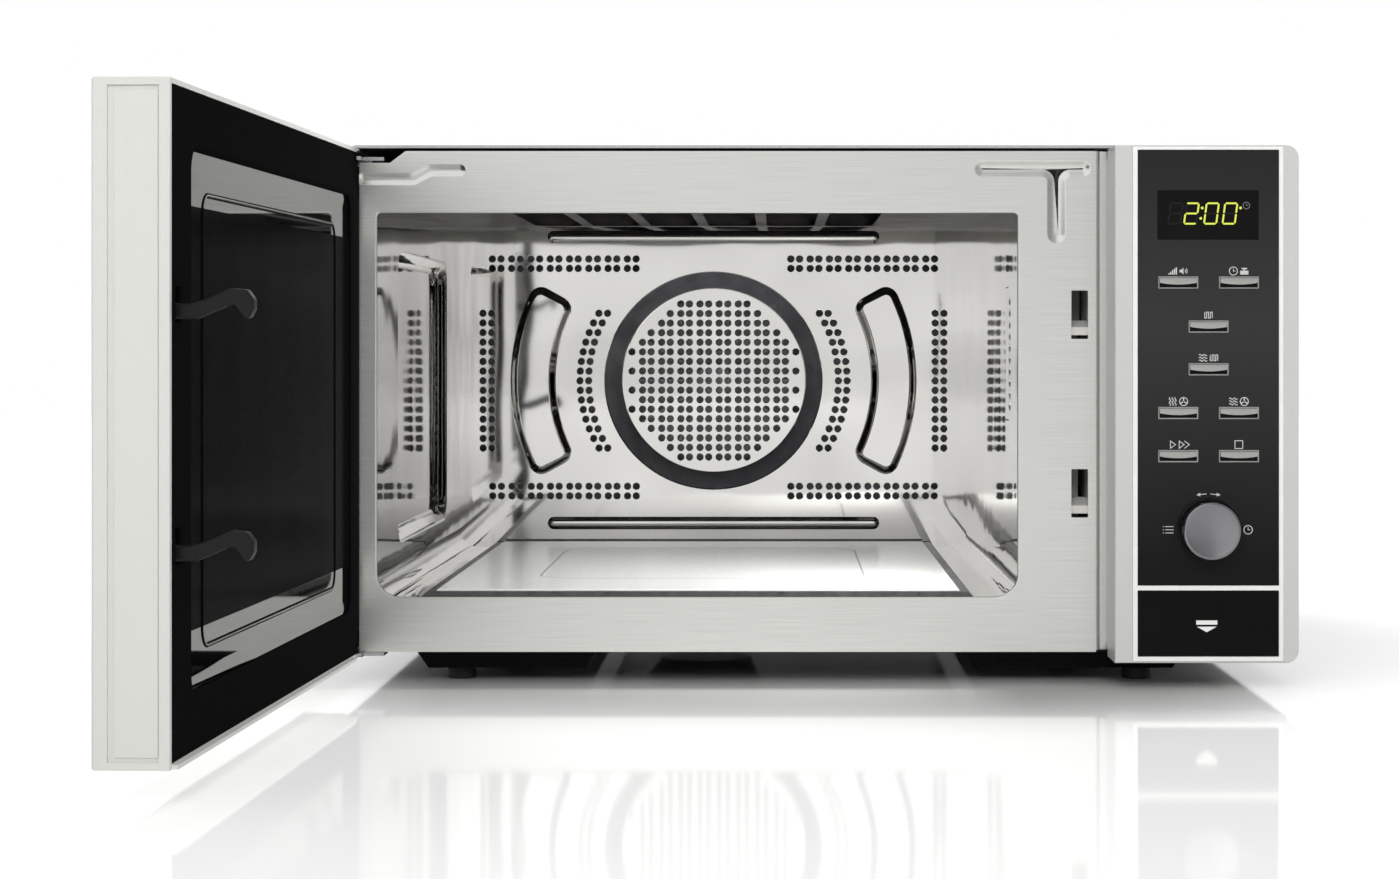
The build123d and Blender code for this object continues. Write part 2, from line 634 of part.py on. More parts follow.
def fan_shroud():
    # Square frame with a round throat and a bar for the motor, on the rear panel
    front, rear = FAN_DEPTH
    middle = Pos(FAN_X, FAN_Z)
    shape = middle * Rectangle(FAN_FRAME, FAN_FRAME) - middle * RegularPolygon(FAN_THROAT, 2 * ROUND_SIDES)
    shroud = along_y(shape, front, rear)
    bar = middle * Rectangle(FAN_FRAME - 4, 10) - plain_round(FAN_X, FAN_Z, SHAFT + 1)
    return shroud + along_y(bar, front, front + 3)


def fan_motor():
    rear = FAN_DEPTH[0]
    core = along_y(Pos(FAN_X, FAN_Z) * Rectangle(FAN_MOTOR_SIZE, FAN_MOTOR_SIZE), FAN_MOTOR_FRONT, rear)
    return core - rod_y(FAN_X, FAN_Z, SHAFT + RUNNING_FIT, FAN_MOTOR_FRONT, rear)


def cooling_fan():
    # Hub on a shaft, with blades set at a pitch
    front = FAN_DEPTH[0] + 6
    rotor = along_y(plain_round(FAN_X, FAN_Z, 12), front, front + 16)
    blade = Pos(28, 0, 0) * Rot(FAN_PITCH, 0, 0) * Box(*FAN_BLADE)
    for index in range(FAN_BLADES):
        rotor += Pos(FAN_X, front + 8, FAN_Z) * Rot(0, 360 * index / FAN_BLADES, 0) * blade
    return rotor + rod_y(FAN_X, FAN_Z, SHAFT, FAN_MOTOR_FRONT + 2, front + 1)


def convection_fan():
    # Back disc with radial blades, drawing air through the wall's disc
    start = CAVITY_REAR + DISC_RECESS + 5
    end = start + AIR_FAN_DEPTH
    disc = along_y(Pos(CAVITY_MID, DISC_Z) * RegularPolygon(AIR_FAN_RADIUS, 2 * ROUND_SIDES), end - 1, end)
    fan = disc + along_y(plain_round(CAVITY_MID, DISC_Z, 12), start + 6, end)
    blade = Pos(38, 0, 0) * Box(*AIR_BLADE)
    for index in range(AIR_FAN_BLADES):
        fan += Pos(CAVITY_MID, start + 8.4, DISC_Z) * Rot(0, 360 * index / AIR_FAN_BLADES, 0) * blade
    return fan + rod_y(CAVITY_MID, DISC_Z, SHAFT, end - 1, AIR_MOTOR_REAR - 6)


def convection_housing():
    # Shallow pan behind the rear wall that leads the hot air from the fan to the outlets
    front = CAVITY_REAR + SHEET
    pan = rect(*AIR_BOX)
    hollow = offset(pan, -SHEET)
    housing = along_y(pan, front, AIR_BOX_REAR) - along_y(hollow, front, AIR_BOX_REAR - SHEET)
    flange = offset(pan, AIR_BOX_FLANGE, kind=Kind.INTERSECTION) - hollow
    housing += along_y(flange, front, front + SHEET)
    return housing - along_y(plain_round(CAVITY_MID, DISC_Z, SHAFT + 2), AIR_BOX_REAR - 8, AIR_BOX_REAR + 2)


def convection_heater():
    # Ring element round the fan, with its two ends through the back of the housing
    ring = RegularPolygon(HEATER_RADIUS, 2 * ROUND_SIDES)
    ring -= RegularPolygon(HEATER_RADIUS - HEATER_ROD, 2 * ROUND_SIDES)
    heater = along_y(Pos(CAVITY_MID, DISC_Z) * ring, HEATER_FRONT, HEATER_FRONT + HEATER_ROD)
    for reach in (-HEATER_END_REACH, HEATER_END_REACH):
        end = Pos(CAVITY_MID + reach, DISC_Z - HEATER_RADIUS + 3.5) * Rectangle(HEATER_ROD, HEATER_ROD - 1)
        heater += along_y(end, HEATER_FRONT + 2, AIR_BOX_REAR - SHEET)
    return heater


def convection_motor():
    # Round motor on a plate behind the air housing
    plate = Pos(CAVITY_MID, DISC_Z) * Rectangle(68, 40)
    motor = along_y(plate, AIR_BOX_REAR, AIR_BOX_REAR + 2)
    motor += along_y(plain_round(CAVITY_MID, DISC_Z, AIR_MOTOR_RADIUS), AIR_BOX_REAR + 2, AIR_MOTOR_REAR)
    return motor - rod_y(CAVITY_MID, DISC_Z, SHAFT + RUNNING_FIT, AIR_BOX_REAR - 1, AIR_MOTOR_REAR - 4)


def stirrer():
    # Antenna paddle on a shaft down to its motor
    paddle = RegularPolygon(PADDLE_RADIUS, ROUND_SIDES)
    for reach in (-PADDLE_WINDOW_REACH, PADDLE_WINDOW_REACH):
        paddle -= Pos(reach, 0) * Rectangle(*PADDLE_WINDOW)
    rotor = along_z(Pos(CAVITY_MID, STIRRER_Y) * paddle, PADDLE_Z, PADDLE_Z + 1)
    return rotor + rod_z(CAVITY_MID, STIRRER_Y, SHAFT, FOOT_HEIGHT + 5, PADDLE_Z + 1)


def stirrer_motor():
    low = FOOT_HEIGHT + BASE_SHEET
    body = along_z(plain_round(CAVITY_MID, STIRRER_Y, 25), low, low + 12)
    return body - rod_z(CAVITY_MID, STIRRER_Y, SHAFT + RUNNING_FIT, low + 2, low + 13)


def grill_element():
    # Two quartz tubes with ceramic end caps
    left, right = GRILL_ENDS
    elements = []
    for y in GRILL_ROWS:
        tube = along_x(plain_round(y, GRILL_Z, GRILL_TUBE), left + 11, right - 11)
        cap = plain_round(y, GRILL_Z, GRILL_CAP)
        tube += along_x(cap, left, left + GRILL_CAP_LENGTH)
        elements.append(tube + along_x(cap, right - GRILL_CAP_LENGTH, right))
    return elements


def grill_housing():
    # Reflector tray over the roof's windows, flanged onto the roof
    low = CAVITY_ROOF + SHEET
    plan = rect(*GRILL_BOX)
    hollow = offset(plan, -1)
    tray = along_z(plan, low, GRILL_BOX_TOP) - along_z(hollow, low, GRILL_BOX_TOP - 1)
    return tray + along_z(offset(plan, GRILL_RIM, kind=Kind.INTERSECTION) - hollow, low, low + SHEET)


def cavity_lamp():
    # Lamp in its holder, outside the perforated patch of the right-hand wall
    left, _, _, _, low, high = LAMP_HOLDER
    ears = rect(LAMP_PATCH[0], LAMP_PATCH[1], low - 6, high + 6)
    holder = block(*LAMP_HOLDER) + along_x(ears, CAVITY_RIGHT + 2 * SHEET, left)
    return holder + along_z(plain_round(*LAMP_AXIS, LAMP_RADIUS), LAMP_LOW, low)


def lamp_screen():
    # Perforated patch let into the cavity's right-hand wall, with a rim welded behind it
    start_y, start_z = LAMP_HOLE_START
    holes = []
    for row in range(LAMP_HOLE_ROWS):
        for column in range(2):
            holes.append(hole_wire(start_y + ROW_PITCH * column, start_z + ROW_PITCH * row))
    patch = rect(*LAMP_PATCH)
    holed = Face(patch.face().outer_wire(), holes)
    screen = along_x(holed, CAVITY_RIGHT, CAVITY_RIGHT + SHEET)
    rim = offset(patch, 4, kind=Kind.INTERSECTION) - offset(patch, -2)
    return screen + along_x(rim, CAVITY_RIGHT + SHEET, CAVITY_RIGHT + 2 * SHEET)


def control_board():
    # Circuit board with a switch behind each button, the knob's encoder, the display and its relays
    board = block(167, 253, BOARD_FRONT, BOARD_FRONT + 1.6, 64, 284)
    for x, z in BUTTON_PLACES.values():
        board += block(x - 3, x + 3, BOARD_FRONT - 4, BOARD_FRONT, z - 3, z + 3)
        board += block(x - 1.5, x + 1.5, BOARD_FRONT - 7.2, BOARD_FRONT - 3, z - 1.5, z + 1.5)
    board += block(COLUMN_MID - 7, COLUMN_MID + 7, BOARD_FRONT - 6.5, BOARD_FRONT, KNOB_Z - 7, KNOB_Z + 7)
    board -= rod_y(COLUMN_MID, KNOB_Z, KNOB_STEM + 0.05, BOARD_FRONT - 7, BOARD_FRONT - 1)
    left, right, low, high = DISPLAY
    board += block(left + 2, right - 2, -26, BOARD_FRONT, low + 2, high - 2)
    for z in (96, 124, 152):
        board += block(176, 196, BOARD_FRONT + 1.6, 1, z, z + 16)
    return board + block(206, 244, BOARD_FRONT + 1.6, 8, 100, 132)


def noise_filter():
    # Upright board on a foot, with a choke, a capacitor and a fuse
    left, right, front, rear, low, _ = FILTER_BOARD
    board = block(*FILTER_BOARD) + along_y(plain_round(left + 20, low + 36, 12), rear, rear + 12)
    board += block(left + 38, left + 56, rear, rear + 16, low + 26, low + 42)
    board += block(left + 64, left + 74, rear, rear + 10, low + 10, low + 20)
    return board + block(left, right, front - 4, rear + 4, BASE_Z + BASE_SHEET, low)


def latch_board():
    # Moulded carrier behind the latch slots, with a ledge for each hook to catch
    face = rect(CARRIER_LEFT, CARRIER_RIGHT, CARRIER_LOW, CARRIER_HIGH)
    for height in HOOK_HEIGHTS:
        face -= rect(SLOT_LEFT - 0.4, SLOT_RIGHT + 0.4, height - SLOT_HALF, height + SLOT_HALF)
    carrier = along_y(face, SHEET, SHEET + 2.4)
    wall = CARRIER_RIGHT - 2.4
    carrier += block(wall, CARRIER_RIGHT, SHEET, CARRIER_DEPTH, CARRIER_LOW, CARRIER_HIGH)
    ledge = make_face(Polyline(*LEDGE_SIDE, close=True))
    for height in HOOK_HEIGHTS:
        carrier += Pos(0, 0, height - HOOK_DROP) * along_x(ledge, SLOT_LEFT - 2, wall)
    guide = CARRIER_DEPTH - 12
    carrier += block(wall - 3, wall, guide, CARRIER_DEPTH, 130, 180)
    return carrier + block(wall - 12, wall - 3, guide, guide + 3, 130, 180)


def interlock_switches():
    # Switches on the carrier's wall, worked by the hooks and the slider
    width, depth, height = SWITCH
    plan = rect(CARRIER_RIGHT, CARRIER_RIGHT + width, SWITCH_FRONT, SWITCH_FRONT + depth)
    return [along_z(plan, low, low + height) for low in SWITCH_LOWS]


def thermal_cutouts():
    wall = CAVITY_RIGHT + 3 + SHEET
    on_wall = along_x(plain_round(300, 120, 8), wall, wall + 8)
    on_wall += block(wall + 8, wall + 16, 297, 303, 116, 124)
    on_roof = along_z(plain_round(80, 120, 8), CAVITY_ROOF + SHEET, 279)
    on_roof += block(77, 83, 116, 124, 279, 287)
    return [on_wall, on_roof]


def cord_gland():
    # Bush in the rear panel where the mains lead goes in
    inside = REAR_FACE - 8
    outside = REAR_FACE + 4
    bush = along_y(plain_round(GLAND_X, GLAND_Z, GLAND_NECK), inside, outside)
    bush += along_y(plain_round(GLAND_X, GLAND_Z, GLAND_NECK + 3), REAR_FACE, REAR_FACE + 2.5)
    return bush - rod_y(GLAND_X, GLAND_Z, GLAND_BORE, inside, outside)


def cabinet_screws():
    # Screws through the cover's flange into the rear panel
    head = REAR_FACE + SHEET
    middle = CABINET_RIGHT - COVER_FLANGE / 2
    screws = []
    places = [(0, COVER_TOP - COVER_FLANGE / 2)]
    for z in SCREW_HEIGHTS:
        places += [(-middle, z), (middle, z)]
    for x, z in places:
        screws.append(along_y(plain_round(x, z, 4), head, head + 2))
    return screws


def panel_housing():
    # Moulded housing: rounded right-hand corners, a rebate for the trim and fascia, posts for the board
    outer = rect(PANEL_LEFT, PANEL_RIGHT, PANEL_BOTTOM, PANEL_TOP)
    outer = fillet(outer.vertices().group_by(Axis.X)[-1], PANEL_CORNER)
    inner = offset(outer, -PANEL_WALL)
    carrier = PANEL_FRONT + FACE_DEPTH
    shell = along_y(outer, PANEL_FRONT, 0)
    shell = chamfer(shell.faces().sort_by(Axis.Y)[0].edges(), 0.5)
    shell -= along_y(inner, carrier + 2, 1)
    shell -= along_y(rect(TRIM_LEFT, TRIM_RIGHT, TRIM_BOTTOM, TRIM_TOP), PANEL_FRONT - 1, carrier)
    openings = rect(FASCIA_LEFT, FASCIA_RIGHT, OPEN_BOTTOM, OPEN_TOP)
    openings += offset(rect(*DISPLAY), -1.5, kind=Kind.INTERSECTION)
    for x, z in BUTTON_PLACES.values():
        openings += Pos(x, z) * Rectangle(BUTTON_WIDTH + 0.6, BUTTON_HEIGHT + 0.6)
    openings += plain_round(COLUMN_MID, KNOB_Z, 6)
    shell -= along_y(openings, PANEL_FRONT, carrier + 3)
    for x in (171, 249):
        for z in (75, 240):
            shell += block(x - 2.5, x + 2.5, carrier + 1, BOARD_FRONT, z - 2.5, z + 2.5)
    shell += block(PANEL_LEFT, PANEL_LEFT + PANEL_WALL, -1, 4, 22, 290)
    return shell + block(PANEL_LEFT + 6, PANEL_RIGHT - 10, -4, 11, PANEL_BOTTOM + 0.2, BASE_Z)


def panel_trim():
    # Thin frame round the fascia and the open button
    shape = rect(TRIM_LEFT + GAP, TRIM_RIGHT - GAP, TRIM_BOTTOM + GAP, TRIM_TOP - GAP)
    shape -= rect(FASCIA_LEFT, FASCIA_RIGHT, FASCIA_BOTTOM, FASCIA_TOP)
    shape -= rect(FASCIA_LEFT, FASCIA_RIGHT, OPEN_BOTTOM, OPEN_TOP)
    return along_y(shape, PANEL_FRONT - 0.3, PANEL_FRONT + FACE_DEPTH)


def fascia():
    # Gloss plate with a raised rim round each button
    shape = rect(FASCIA_LEFT + GAP, FASCIA_RIGHT - GAP, FASCIA_BOTTOM + GAP, FASCIA_TOP - GAP)
    shape -= rect(*DISPLAY) + plain_round(COLUMN_MID, KNOB_Z, KNOB_STEM + 1)
    rims = Sketch()
    for x, z in BUTTON_PLACES.values():
        shape -= Pos(x, z) * Rectangle(BUTTON_WIDTH + 0.4, BUTTON_HEIGHT + 0.4)
        rims += Pos(x, z) * (Rectangle(BUTTON_WIDTH + 1.6, BUTTON_HEIGHT + 1.6)
                             - Rectangle(BUTTON_WIDTH + 0.4, BUTTON_HEIGHT + 0.4))
    plate = along_y(shape, PANEL_FRONT, PANEL_FRONT + FACE_DEPTH)
    return plate + along_y(rims, PANEL_FRONT - 0.3, PANEL_FRONT + 1)


def display_window():
    left, right, low, high = DISPLAY
    pane = rect(left + GAP, right - GAP, low + GAP, high - GAP)
    return along_y(pane, PANEL_FRONT, PANEL_FRONT + FACE_DEPTH)


def knob_ring():
    ring = RegularPolygon(KNOB_RING, 2 * ROUND_SIDES) - RegularPolygon(KNOB_RADIUS + 0.7, 2 * ROUND_SIDES)
    return along_y(Pos(COLUMN_MID, KNOB_Z) * ring, PANEL_FRONT - 2, PANEL_FRONT)


def knob():
    # Knob with a dished face, on a stem that turns in the encoder
    outline = Pos(COLUMN_MID, KNOB_Z) * RegularPolygon(KNOB_RADIUS, 2 * ROUND_SIDES)
    body = along_y(outline, KNOB_FRONT, PANEL_FRONT - 0.6)
    body = chamfer(body.faces().sort_by(Axis.Y)[0].edges(), 1)
    body -= along_y(offset(outline, -2.4), KNOB_FRONT - 1, KNOB_FRONT + 0.8)
    return body + rod_y(COLUMN_MID, KNOB_Z, KNOB_STEM, PANEL_FRONT - 1, -18)


def push_button(x, z):
    # Cap with a hollow scooped under its upper half, a flange behind the fascia and a stem to its switch
    front = PANEL_FRONT - BUTTON_PROUD
    half = BUTTON_HEIGHT / 2
    flange = PANEL_FRONT + FACE_DEPTH + 2.3
    profile = make_face(
        Polyline((front + 1, -half), (flange, -half), (flange, half), (front, half), (front, -0.2))
        + ThreePointArc((front, -0.2), (front + 0.8, -1.1), (front + 1, -half)))
    button = along_x(profile, x - BUTTON_WIDTH / 2, x + BUTTON_WIDTH / 2)
    button = Pos(0, 0, z) * button
    button += block(x - 11.2, x + 11.2, flange, flange + 1, z - 3.5, z + 3.5)
    return button + block(x - 2, x + 2, flange, BOARD_FRONT - 8.6, z - 1.5, z + 1.5)


def open_button():
    # Wide key, open at the back, with a tongue that runs in to the release slider
    left = FASCIA_LEFT + 0.3
    right = FASCIA_RIGHT - 0.3
    low = OPEN_BOTTOM + 0.3
    high = OPEN_TOP - 0.3
    front = PANEL_FRONT + 0.2
    key = along_y(rect(left, right, low, high), front, -20)
    key -= along_y(rect(left + 1.6, right - 1.6, low + 1.6, high - 1.6), front + 2.2, -19)
    tongue = make_face(Polyline(
        (front + 2, 36), (36, 36), (36, 40.9), (30.9, 46), (front + 2, 46), close=True))
    return key + along_x(tongue, *TONGUE)


def release_slider():
    # Upright slide: its cam rides on the open button's tongue, its two fingers lift the door hooks
    rear = SLIDER_FRONT + 4
    slope = make_face(Polyline(
        (SLIDER_FRONT, 46.5), (37.5, 40), (41, 40), (41, SLIDER_LOW + 10), (SLIDER_FRONT, SLIDER_LOW + 10),
        close=True))
    slider = along_x(slope, TONGUE[0] - 1.5, TONGUE[1] + 1.5)
    slider += block(SLIDER_LEFT, TONGUE[1] + 1.5, SLIDER_FRONT, rear, SLIDER_LOW, SLIDER_LOW + 10)
    tops = [height - HOOK_DROP - FINGER_GAP for height in HOOK_HEIGHTS]
    slider += block(SLIDER_LEFT, SLIDER_LEFT + 6, SLIDER_FRONT, rear, SLIDER_LOW, tops[-1])
    for top in tops:
        slider += block(SLIDER_LEFT + 0.5, SLIDER_LEFT + 6, FINGER_FRONT, SLIDER_FRONT + 1, top - 4, top)
    return slider


def door_frame():
    # Moulded outer frame: deep rim, front border for the glass, recessed strip on the free edge
    outer = rect(DOOR_LEFT, DOOR_RIGHT, PANEL_BOTTOM, PANEL_TOP)
    inner = rect(DOOR_LEFT + 2, DOOR_RIGHT - DOOR_EDGE, PANEL_BOTTOM + DOOR_WALL, PANEL_TOP - DOOR_WALL)
    glass = rect(*GLASS)
    frame = along_y(outer, PANEL_FRONT, DOOR_INNER)
    frame = chamfer(frame.faces().sort_by(Axis.Y)[0].edges(), 0.8)
    frame -= along_y(inner, PANEL_FRONT + 6, 0)
    frame -= along_y(glass, PANEL_FRONT - 1, PANEL_FRONT + 3.4)
    frame -= along_y(offset(glass, -6), PANEL_FRONT - 1, 0)
    frame -= block(DOOR_LEFT - 1, DOOR_LEFT + 2.1, HINGE_Y - 0.5, 0, PANEL_BOTTOM - 1, PANEL_TOP + 1)
    for low in DOOR_BOSS_LOWS:
        frame += block(-252, -244, PANEL_FRONT + 5, DOOR_PANEL_BACK, low, low + 12)
        frame += block(128, 144, PANEL_FRONT + 5, DOOR_PANEL_BACK, low, low + 12)
    edge = rect(*EDGE_RECESS, PANEL_BOTTOM + EDGE_BORDER, PANEL_TOP - EDGE_BORDER)
    pad = rect(*EDGE_PAD, PANEL_BOTTOM + EDGE_BORDER + 2, PANEL_TOP - EDGE_BORDER - 2)
    frame -= along_x(edge - pad, DOOR_RIGHT - EDGE_SUNK, DOOR_RIGHT + 1)
    frame -= along_x(pad, DOOR_RIGHT - EDGE_SUNK / 2, DOOR_RIGHT + 1)
    for low in (UPPER_BRACKET_Z, LOWER_BRACKET_Z):
        frame -= block(DOOR_LEFT - 1, HINGE_X + 5.6, HINGE_Y - 6, 0, low - 3.2, low + HINGE_PLATE + 3.2)
    return frame + block(-234, DOOR_RIGHT - 2, -4, 1, PANEL_BOTTOM + 0.3, PANEL_BOTTOM + 2)


def door_glass():
    pane = offset(rect(*GLASS), -2 * GAP, kind=Kind.INTERSECTION)
    return along_y(pane, PANEL_FRONT + 0.2, PANEL_FRONT + 3.4)


def door_panel():
    # Steel inner pressing: window sheet, choke channel round it, and a pin on a tab at each hinge
    window = rect(*CHOKE_INNER)
    channel = rect(*CHOKE_OUTER)
    sheet_front = WINDOW_SHEET_BACK + SHEET
    panel = along_y(window, WINDOW_SHEET_BACK, sheet_front)
    panel += along_y(window - rect(*SIGHT), WINDOW_SHEET_BACK, DOOR_INNER - 4.2)
    panel += along_y(channel - offset(window, -SHEET), DOOR_PANEL_BACK, DOOR_PANEL_BACK + SHEET)
    panel += along_y(window - offset(window, -SHEET), DOOR_PANEL_BACK, sheet_front)
    panel += along_y(channel - offset(channel, -SHEET), DOOR_PANEL_BACK, DOOR_INNER - 3)
    ear = rect(HINGE_X - 1.9, HINGE_X + 16, -16, -5.3) + Pos(HINGE_X, HINGE_Y) * Circle(HINGE_PIN)
    for tab, pin_low, pin_high in ((286.8, 286.8, 292.3), (18.4, 15.5, 20.4)):
        panel += along_z(ear, tab, tab + 2)
        panel += block(HINGE_X + 3, HINGE_X + 16, -17, -15, min(tab, 282), max(tab + 2, 29))
        panel += rod_z(HINGE_X, HINGE_Y, HINGE_PIN, pin_low, pin_high)
    return panel


def choke_cover():
    # Black moulded border over the choke channel, with slots for the hooks and rails for the latch key
    shape = rect(DOOR_LEFT + 2.2, DOOR_RIGHT - DOOR_EDGE - 0.1, PANEL_BOTTOM + 2.3, PANEL_TOP - 2.3)
    shape -= rect(WINDOW_LEFT, WINDOW_RIGHT, WINDOW_BOTTOM, WINDOW_TOP, 10)
    for height in HOOK_HEIGHTS:
        low = height - HOOK_DROP
        shape -= rect(HOOK_LEFT - 1, HOOK_RIGHT + 1, low - 1.2, low + HOOK_ARM + HOOK_LIFT + 1.2)
    cover = along_y(shape, DOOR_INNER - 3, DOOR_INNER)
    rim = cover.faces().sort_by(Axis.Y)[-1].inner_wires().sort_by(SortBy.LENGTH)[-1]
    cover = chamfer(rim.edges(), 2)
    for left in (138, 151):
        cover += block(left, left + 1.6, -15, DOOR_INNER - 3, 85, 224)
    for low in (UPPER_BRACKET_Z, LOWER_BRACKET_Z):
        cover -= block(DOOR_LEFT - 1, HINGE_X + 5.6, -6, 0, low - 3.2, low + HINGE_PLATE + 3.2)
    return cover


def inner_window():
    # Gloss sheet behind the border, with a fine raised line round the see-through part
    sheet = along_y(rect(WINDOW_LEFT - 3, WINDOW_RIGHT + 3, 39.5, 271.5), DOOR_INNER - 4.2, DOOR_INNER - 3)
    left, right, low, high = BEAD_FRAME
    line = rect(left, right, low, high) - rect(left + 1.6, right - 1.6, low + 1.6, high - 1.6)
    return sheet + along_y(line, DOOR_INNER - 3, DOOR_INNER - 2.4)


def latch_key():
    # One moulding: an upright bar in the door with two rounded hooks that reach through the front frame
    key = block(HOOK_LEFT - 1.7, HOOK_RIGHT + 1.9, *KEY_DEPTH, *KEY_HEIGHT)
    hook = make_face(Polyline(*HOOK_SIDE, close=True))
    for height in HOOK_HEIGHTS:
        key += Pos(0, 0, height - HOOK_DROP) * along_x(hook, HOOK_LEFT, HOOK_RIGHT)
    return key


CABINET_NODES = (
    front_frame, cavity_wrap, cavity_roof, cavity_rear_wall, outer_cover, base_plate, rear_panel, feet,
    hinge_brackets, ceramic_floor, floor_seal, stirrer_well, waveguide, magnetron, transformer, capacitor,
    rectifier_diode, fan_shroud, fan_motor, cooling_fan, convection_fan, convection_housing,
    convection_heater, convection_motor, stirrer, stirrer_motor, grill_element, grill_housing,
    cavity_lamp, lamp_screen, control_board, noise_filter, latch_board, interlock_switches,
    thermal_cutouts, cord_gland, cabinet_screws, panel_housing, panel_trim, fascia, display_window,
    knob_ring, knob, open_button, release_slider,
)
DOOR_NODES = (door_frame, door_glass, door_panel, choke_cover, inner_window, latch_key)


def opened(shape):
    # Turns a door piece about the hinge from closed to the angle at which the door stands open
    hinge = Pos(HINGE_X, HINGE_Y, 0)
    return hinge * Rot(0, 0, -DOOR_OPEN_ANGLE) * hinge.inverse() * shape


def save(name, pieces):
    solids = []
    for piece in pieces if isinstance(pieces, list) else [pieces]:
        solids += piece.solids()
    export_step(Compound(children=solids), f"parts/{name}.step")


os.makedirs("parts", exist_ok=True)
for make in CABINET_NODES:
    save(make.__name__, make())
for make in DOOR_NODES:
    save(make.__name__, opened(make()))
for name, (column, row) in BUTTON_PLACES.items():
    save(name, push_button(column, row))
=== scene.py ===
import json
import math

import bmesh
import bpy
from mathutils import Matrix, Vector
from mathutils.geometry import delaunay_2d_cdt

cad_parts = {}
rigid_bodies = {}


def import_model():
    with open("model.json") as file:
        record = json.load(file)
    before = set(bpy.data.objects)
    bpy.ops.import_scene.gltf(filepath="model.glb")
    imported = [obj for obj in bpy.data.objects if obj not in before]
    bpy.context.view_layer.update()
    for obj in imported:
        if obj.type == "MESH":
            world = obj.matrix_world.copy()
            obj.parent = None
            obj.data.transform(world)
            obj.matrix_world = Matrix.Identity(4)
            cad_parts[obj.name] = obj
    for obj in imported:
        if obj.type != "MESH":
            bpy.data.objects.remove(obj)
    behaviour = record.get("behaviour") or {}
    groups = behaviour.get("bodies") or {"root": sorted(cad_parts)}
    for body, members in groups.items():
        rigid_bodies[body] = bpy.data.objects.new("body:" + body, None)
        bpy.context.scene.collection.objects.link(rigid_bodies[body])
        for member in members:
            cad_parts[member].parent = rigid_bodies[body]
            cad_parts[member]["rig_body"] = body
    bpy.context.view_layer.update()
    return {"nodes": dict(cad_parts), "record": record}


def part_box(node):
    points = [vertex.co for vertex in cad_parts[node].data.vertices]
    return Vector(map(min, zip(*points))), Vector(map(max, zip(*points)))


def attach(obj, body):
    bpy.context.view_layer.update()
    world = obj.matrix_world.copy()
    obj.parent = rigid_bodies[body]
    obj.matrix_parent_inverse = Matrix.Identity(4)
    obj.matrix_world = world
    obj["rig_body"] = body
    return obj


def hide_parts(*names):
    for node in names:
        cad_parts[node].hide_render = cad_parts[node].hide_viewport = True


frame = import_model()
nodes = frame["nodes"]


# Base tray: black enamelled sheet steel with two pressed rails that carry the feet.
# It closes the cabinet from below, and the front frame, the cover and the rear panel stand on it.
MM = 0.001
SHEET = 0.8
STRIP = 6.0
CAD_WELD = 0.001
COPLANAR = math.radians(0.5)
GRAIN_LOW, GRAIN_HIGH = 0.3, 0.7
slot_of = {part["node"]: part["material_slot"] for part in frame["record"]["subparts"]}


def linear(code):
    """An sRGB hex colour as linear red, green, blue and alpha."""
    parts = [int(code[start:start + 2], 16) / 255 for start in (1, 3, 5)]
    return [c / 12.92 if c <= 0.04045 else ((c + 0.055) / 1.055) ** 2.4 for c in parts] + [1.0]


def add(tree, kind, inputs={}, stops=(), **settings):
    """Adds a node with its settings and colour stops. Each input is a value, or a node or socket to link."""
    node = tree.nodes.new("ShaderNode" + kind)
    for name, value in settings.items():
        setattr(node, name, value)
    for position, _ in stops[1:-1]:
        node.color_ramp.elements.new(position)
    for number, (position, colour) in enumerate(stops):
        node.color_ramp.elements[number].position = position
        node.color_ramp.elements[number].color = colour
    for name, value in inputs.items():
        if isinstance(value, bpy.types.Node):
            value = value.outputs[0]
        if isinstance(value, bpy.types.NodeSocket):
            tree.links.new(value, node.inputs[name])
        else:
            node.inputs[name].default_value = value
    return node


def finish(name, colour, **values):
    """A material with one colour and constant shader values."""
    material = bpy.data.materials.new(name)
    material.use_nodes = True
    shader = material.node_tree.nodes["Principled BSDF"]
    shader.inputs["Base Color"].default_value = linear(colour)
    for key, value in values.items():
        shader.inputs[key.replace("_", " ")].default_value = value
    return material


def wired(material, **made):
    """Links nodes to a material's shader."""
    tree = material.node_tree
    for name, node in made.items():
        tree.links.new(node.outputs[0], tree.nodes["Principled BSDF"].inputs[name.replace("_", " ")])
    return material


def grained(name, colours, gloss, size, depth, detail=3, **values):
    """A material with a grain: two colours, a range of roughness, and the grain's size and depth in mm."""
    material = finish(name, colours[0], **values)
    tree = material.node_tree
    across = size if isinstance(size, tuple) else (size, size, size)
    scaled = add(tree, "Mapping", {
        "Vector": add(tree, "TexCoord").outputs["Object"], "Scale": [1 / (a * MM) for a in across]})
    grain = add(tree, "TexNoise", {"Vector": scaled, "Scale": 1.0, "Detail": detail})
    tone = add(tree, "ValToRGB", {"Fac": grain}, [
        (GRAIN_LOW, linear(colours[0])), (GRAIN_HIGH, linear(colours[1]))])
    low, high = gloss
    spread = add(tree, "MapRange", {
        "Value": grain, "From Min": GRAIN_LOW, "From Max": GRAIN_HIGH, "To Min": low, "To Max": high})
    relief = add(tree, "Bump", {"Height": grain, "Distance": depth * MM, "Strength": 1.0})
    return wired(material, Base_Color=tone, Roughness=spread, Normal=relief)


def placed(name, data):
    """An object of some data, put into the scene."""
    made = bpy.data.objects.new(name, data)
    bpy.context.scene.collection.objects.link(made)
    return made


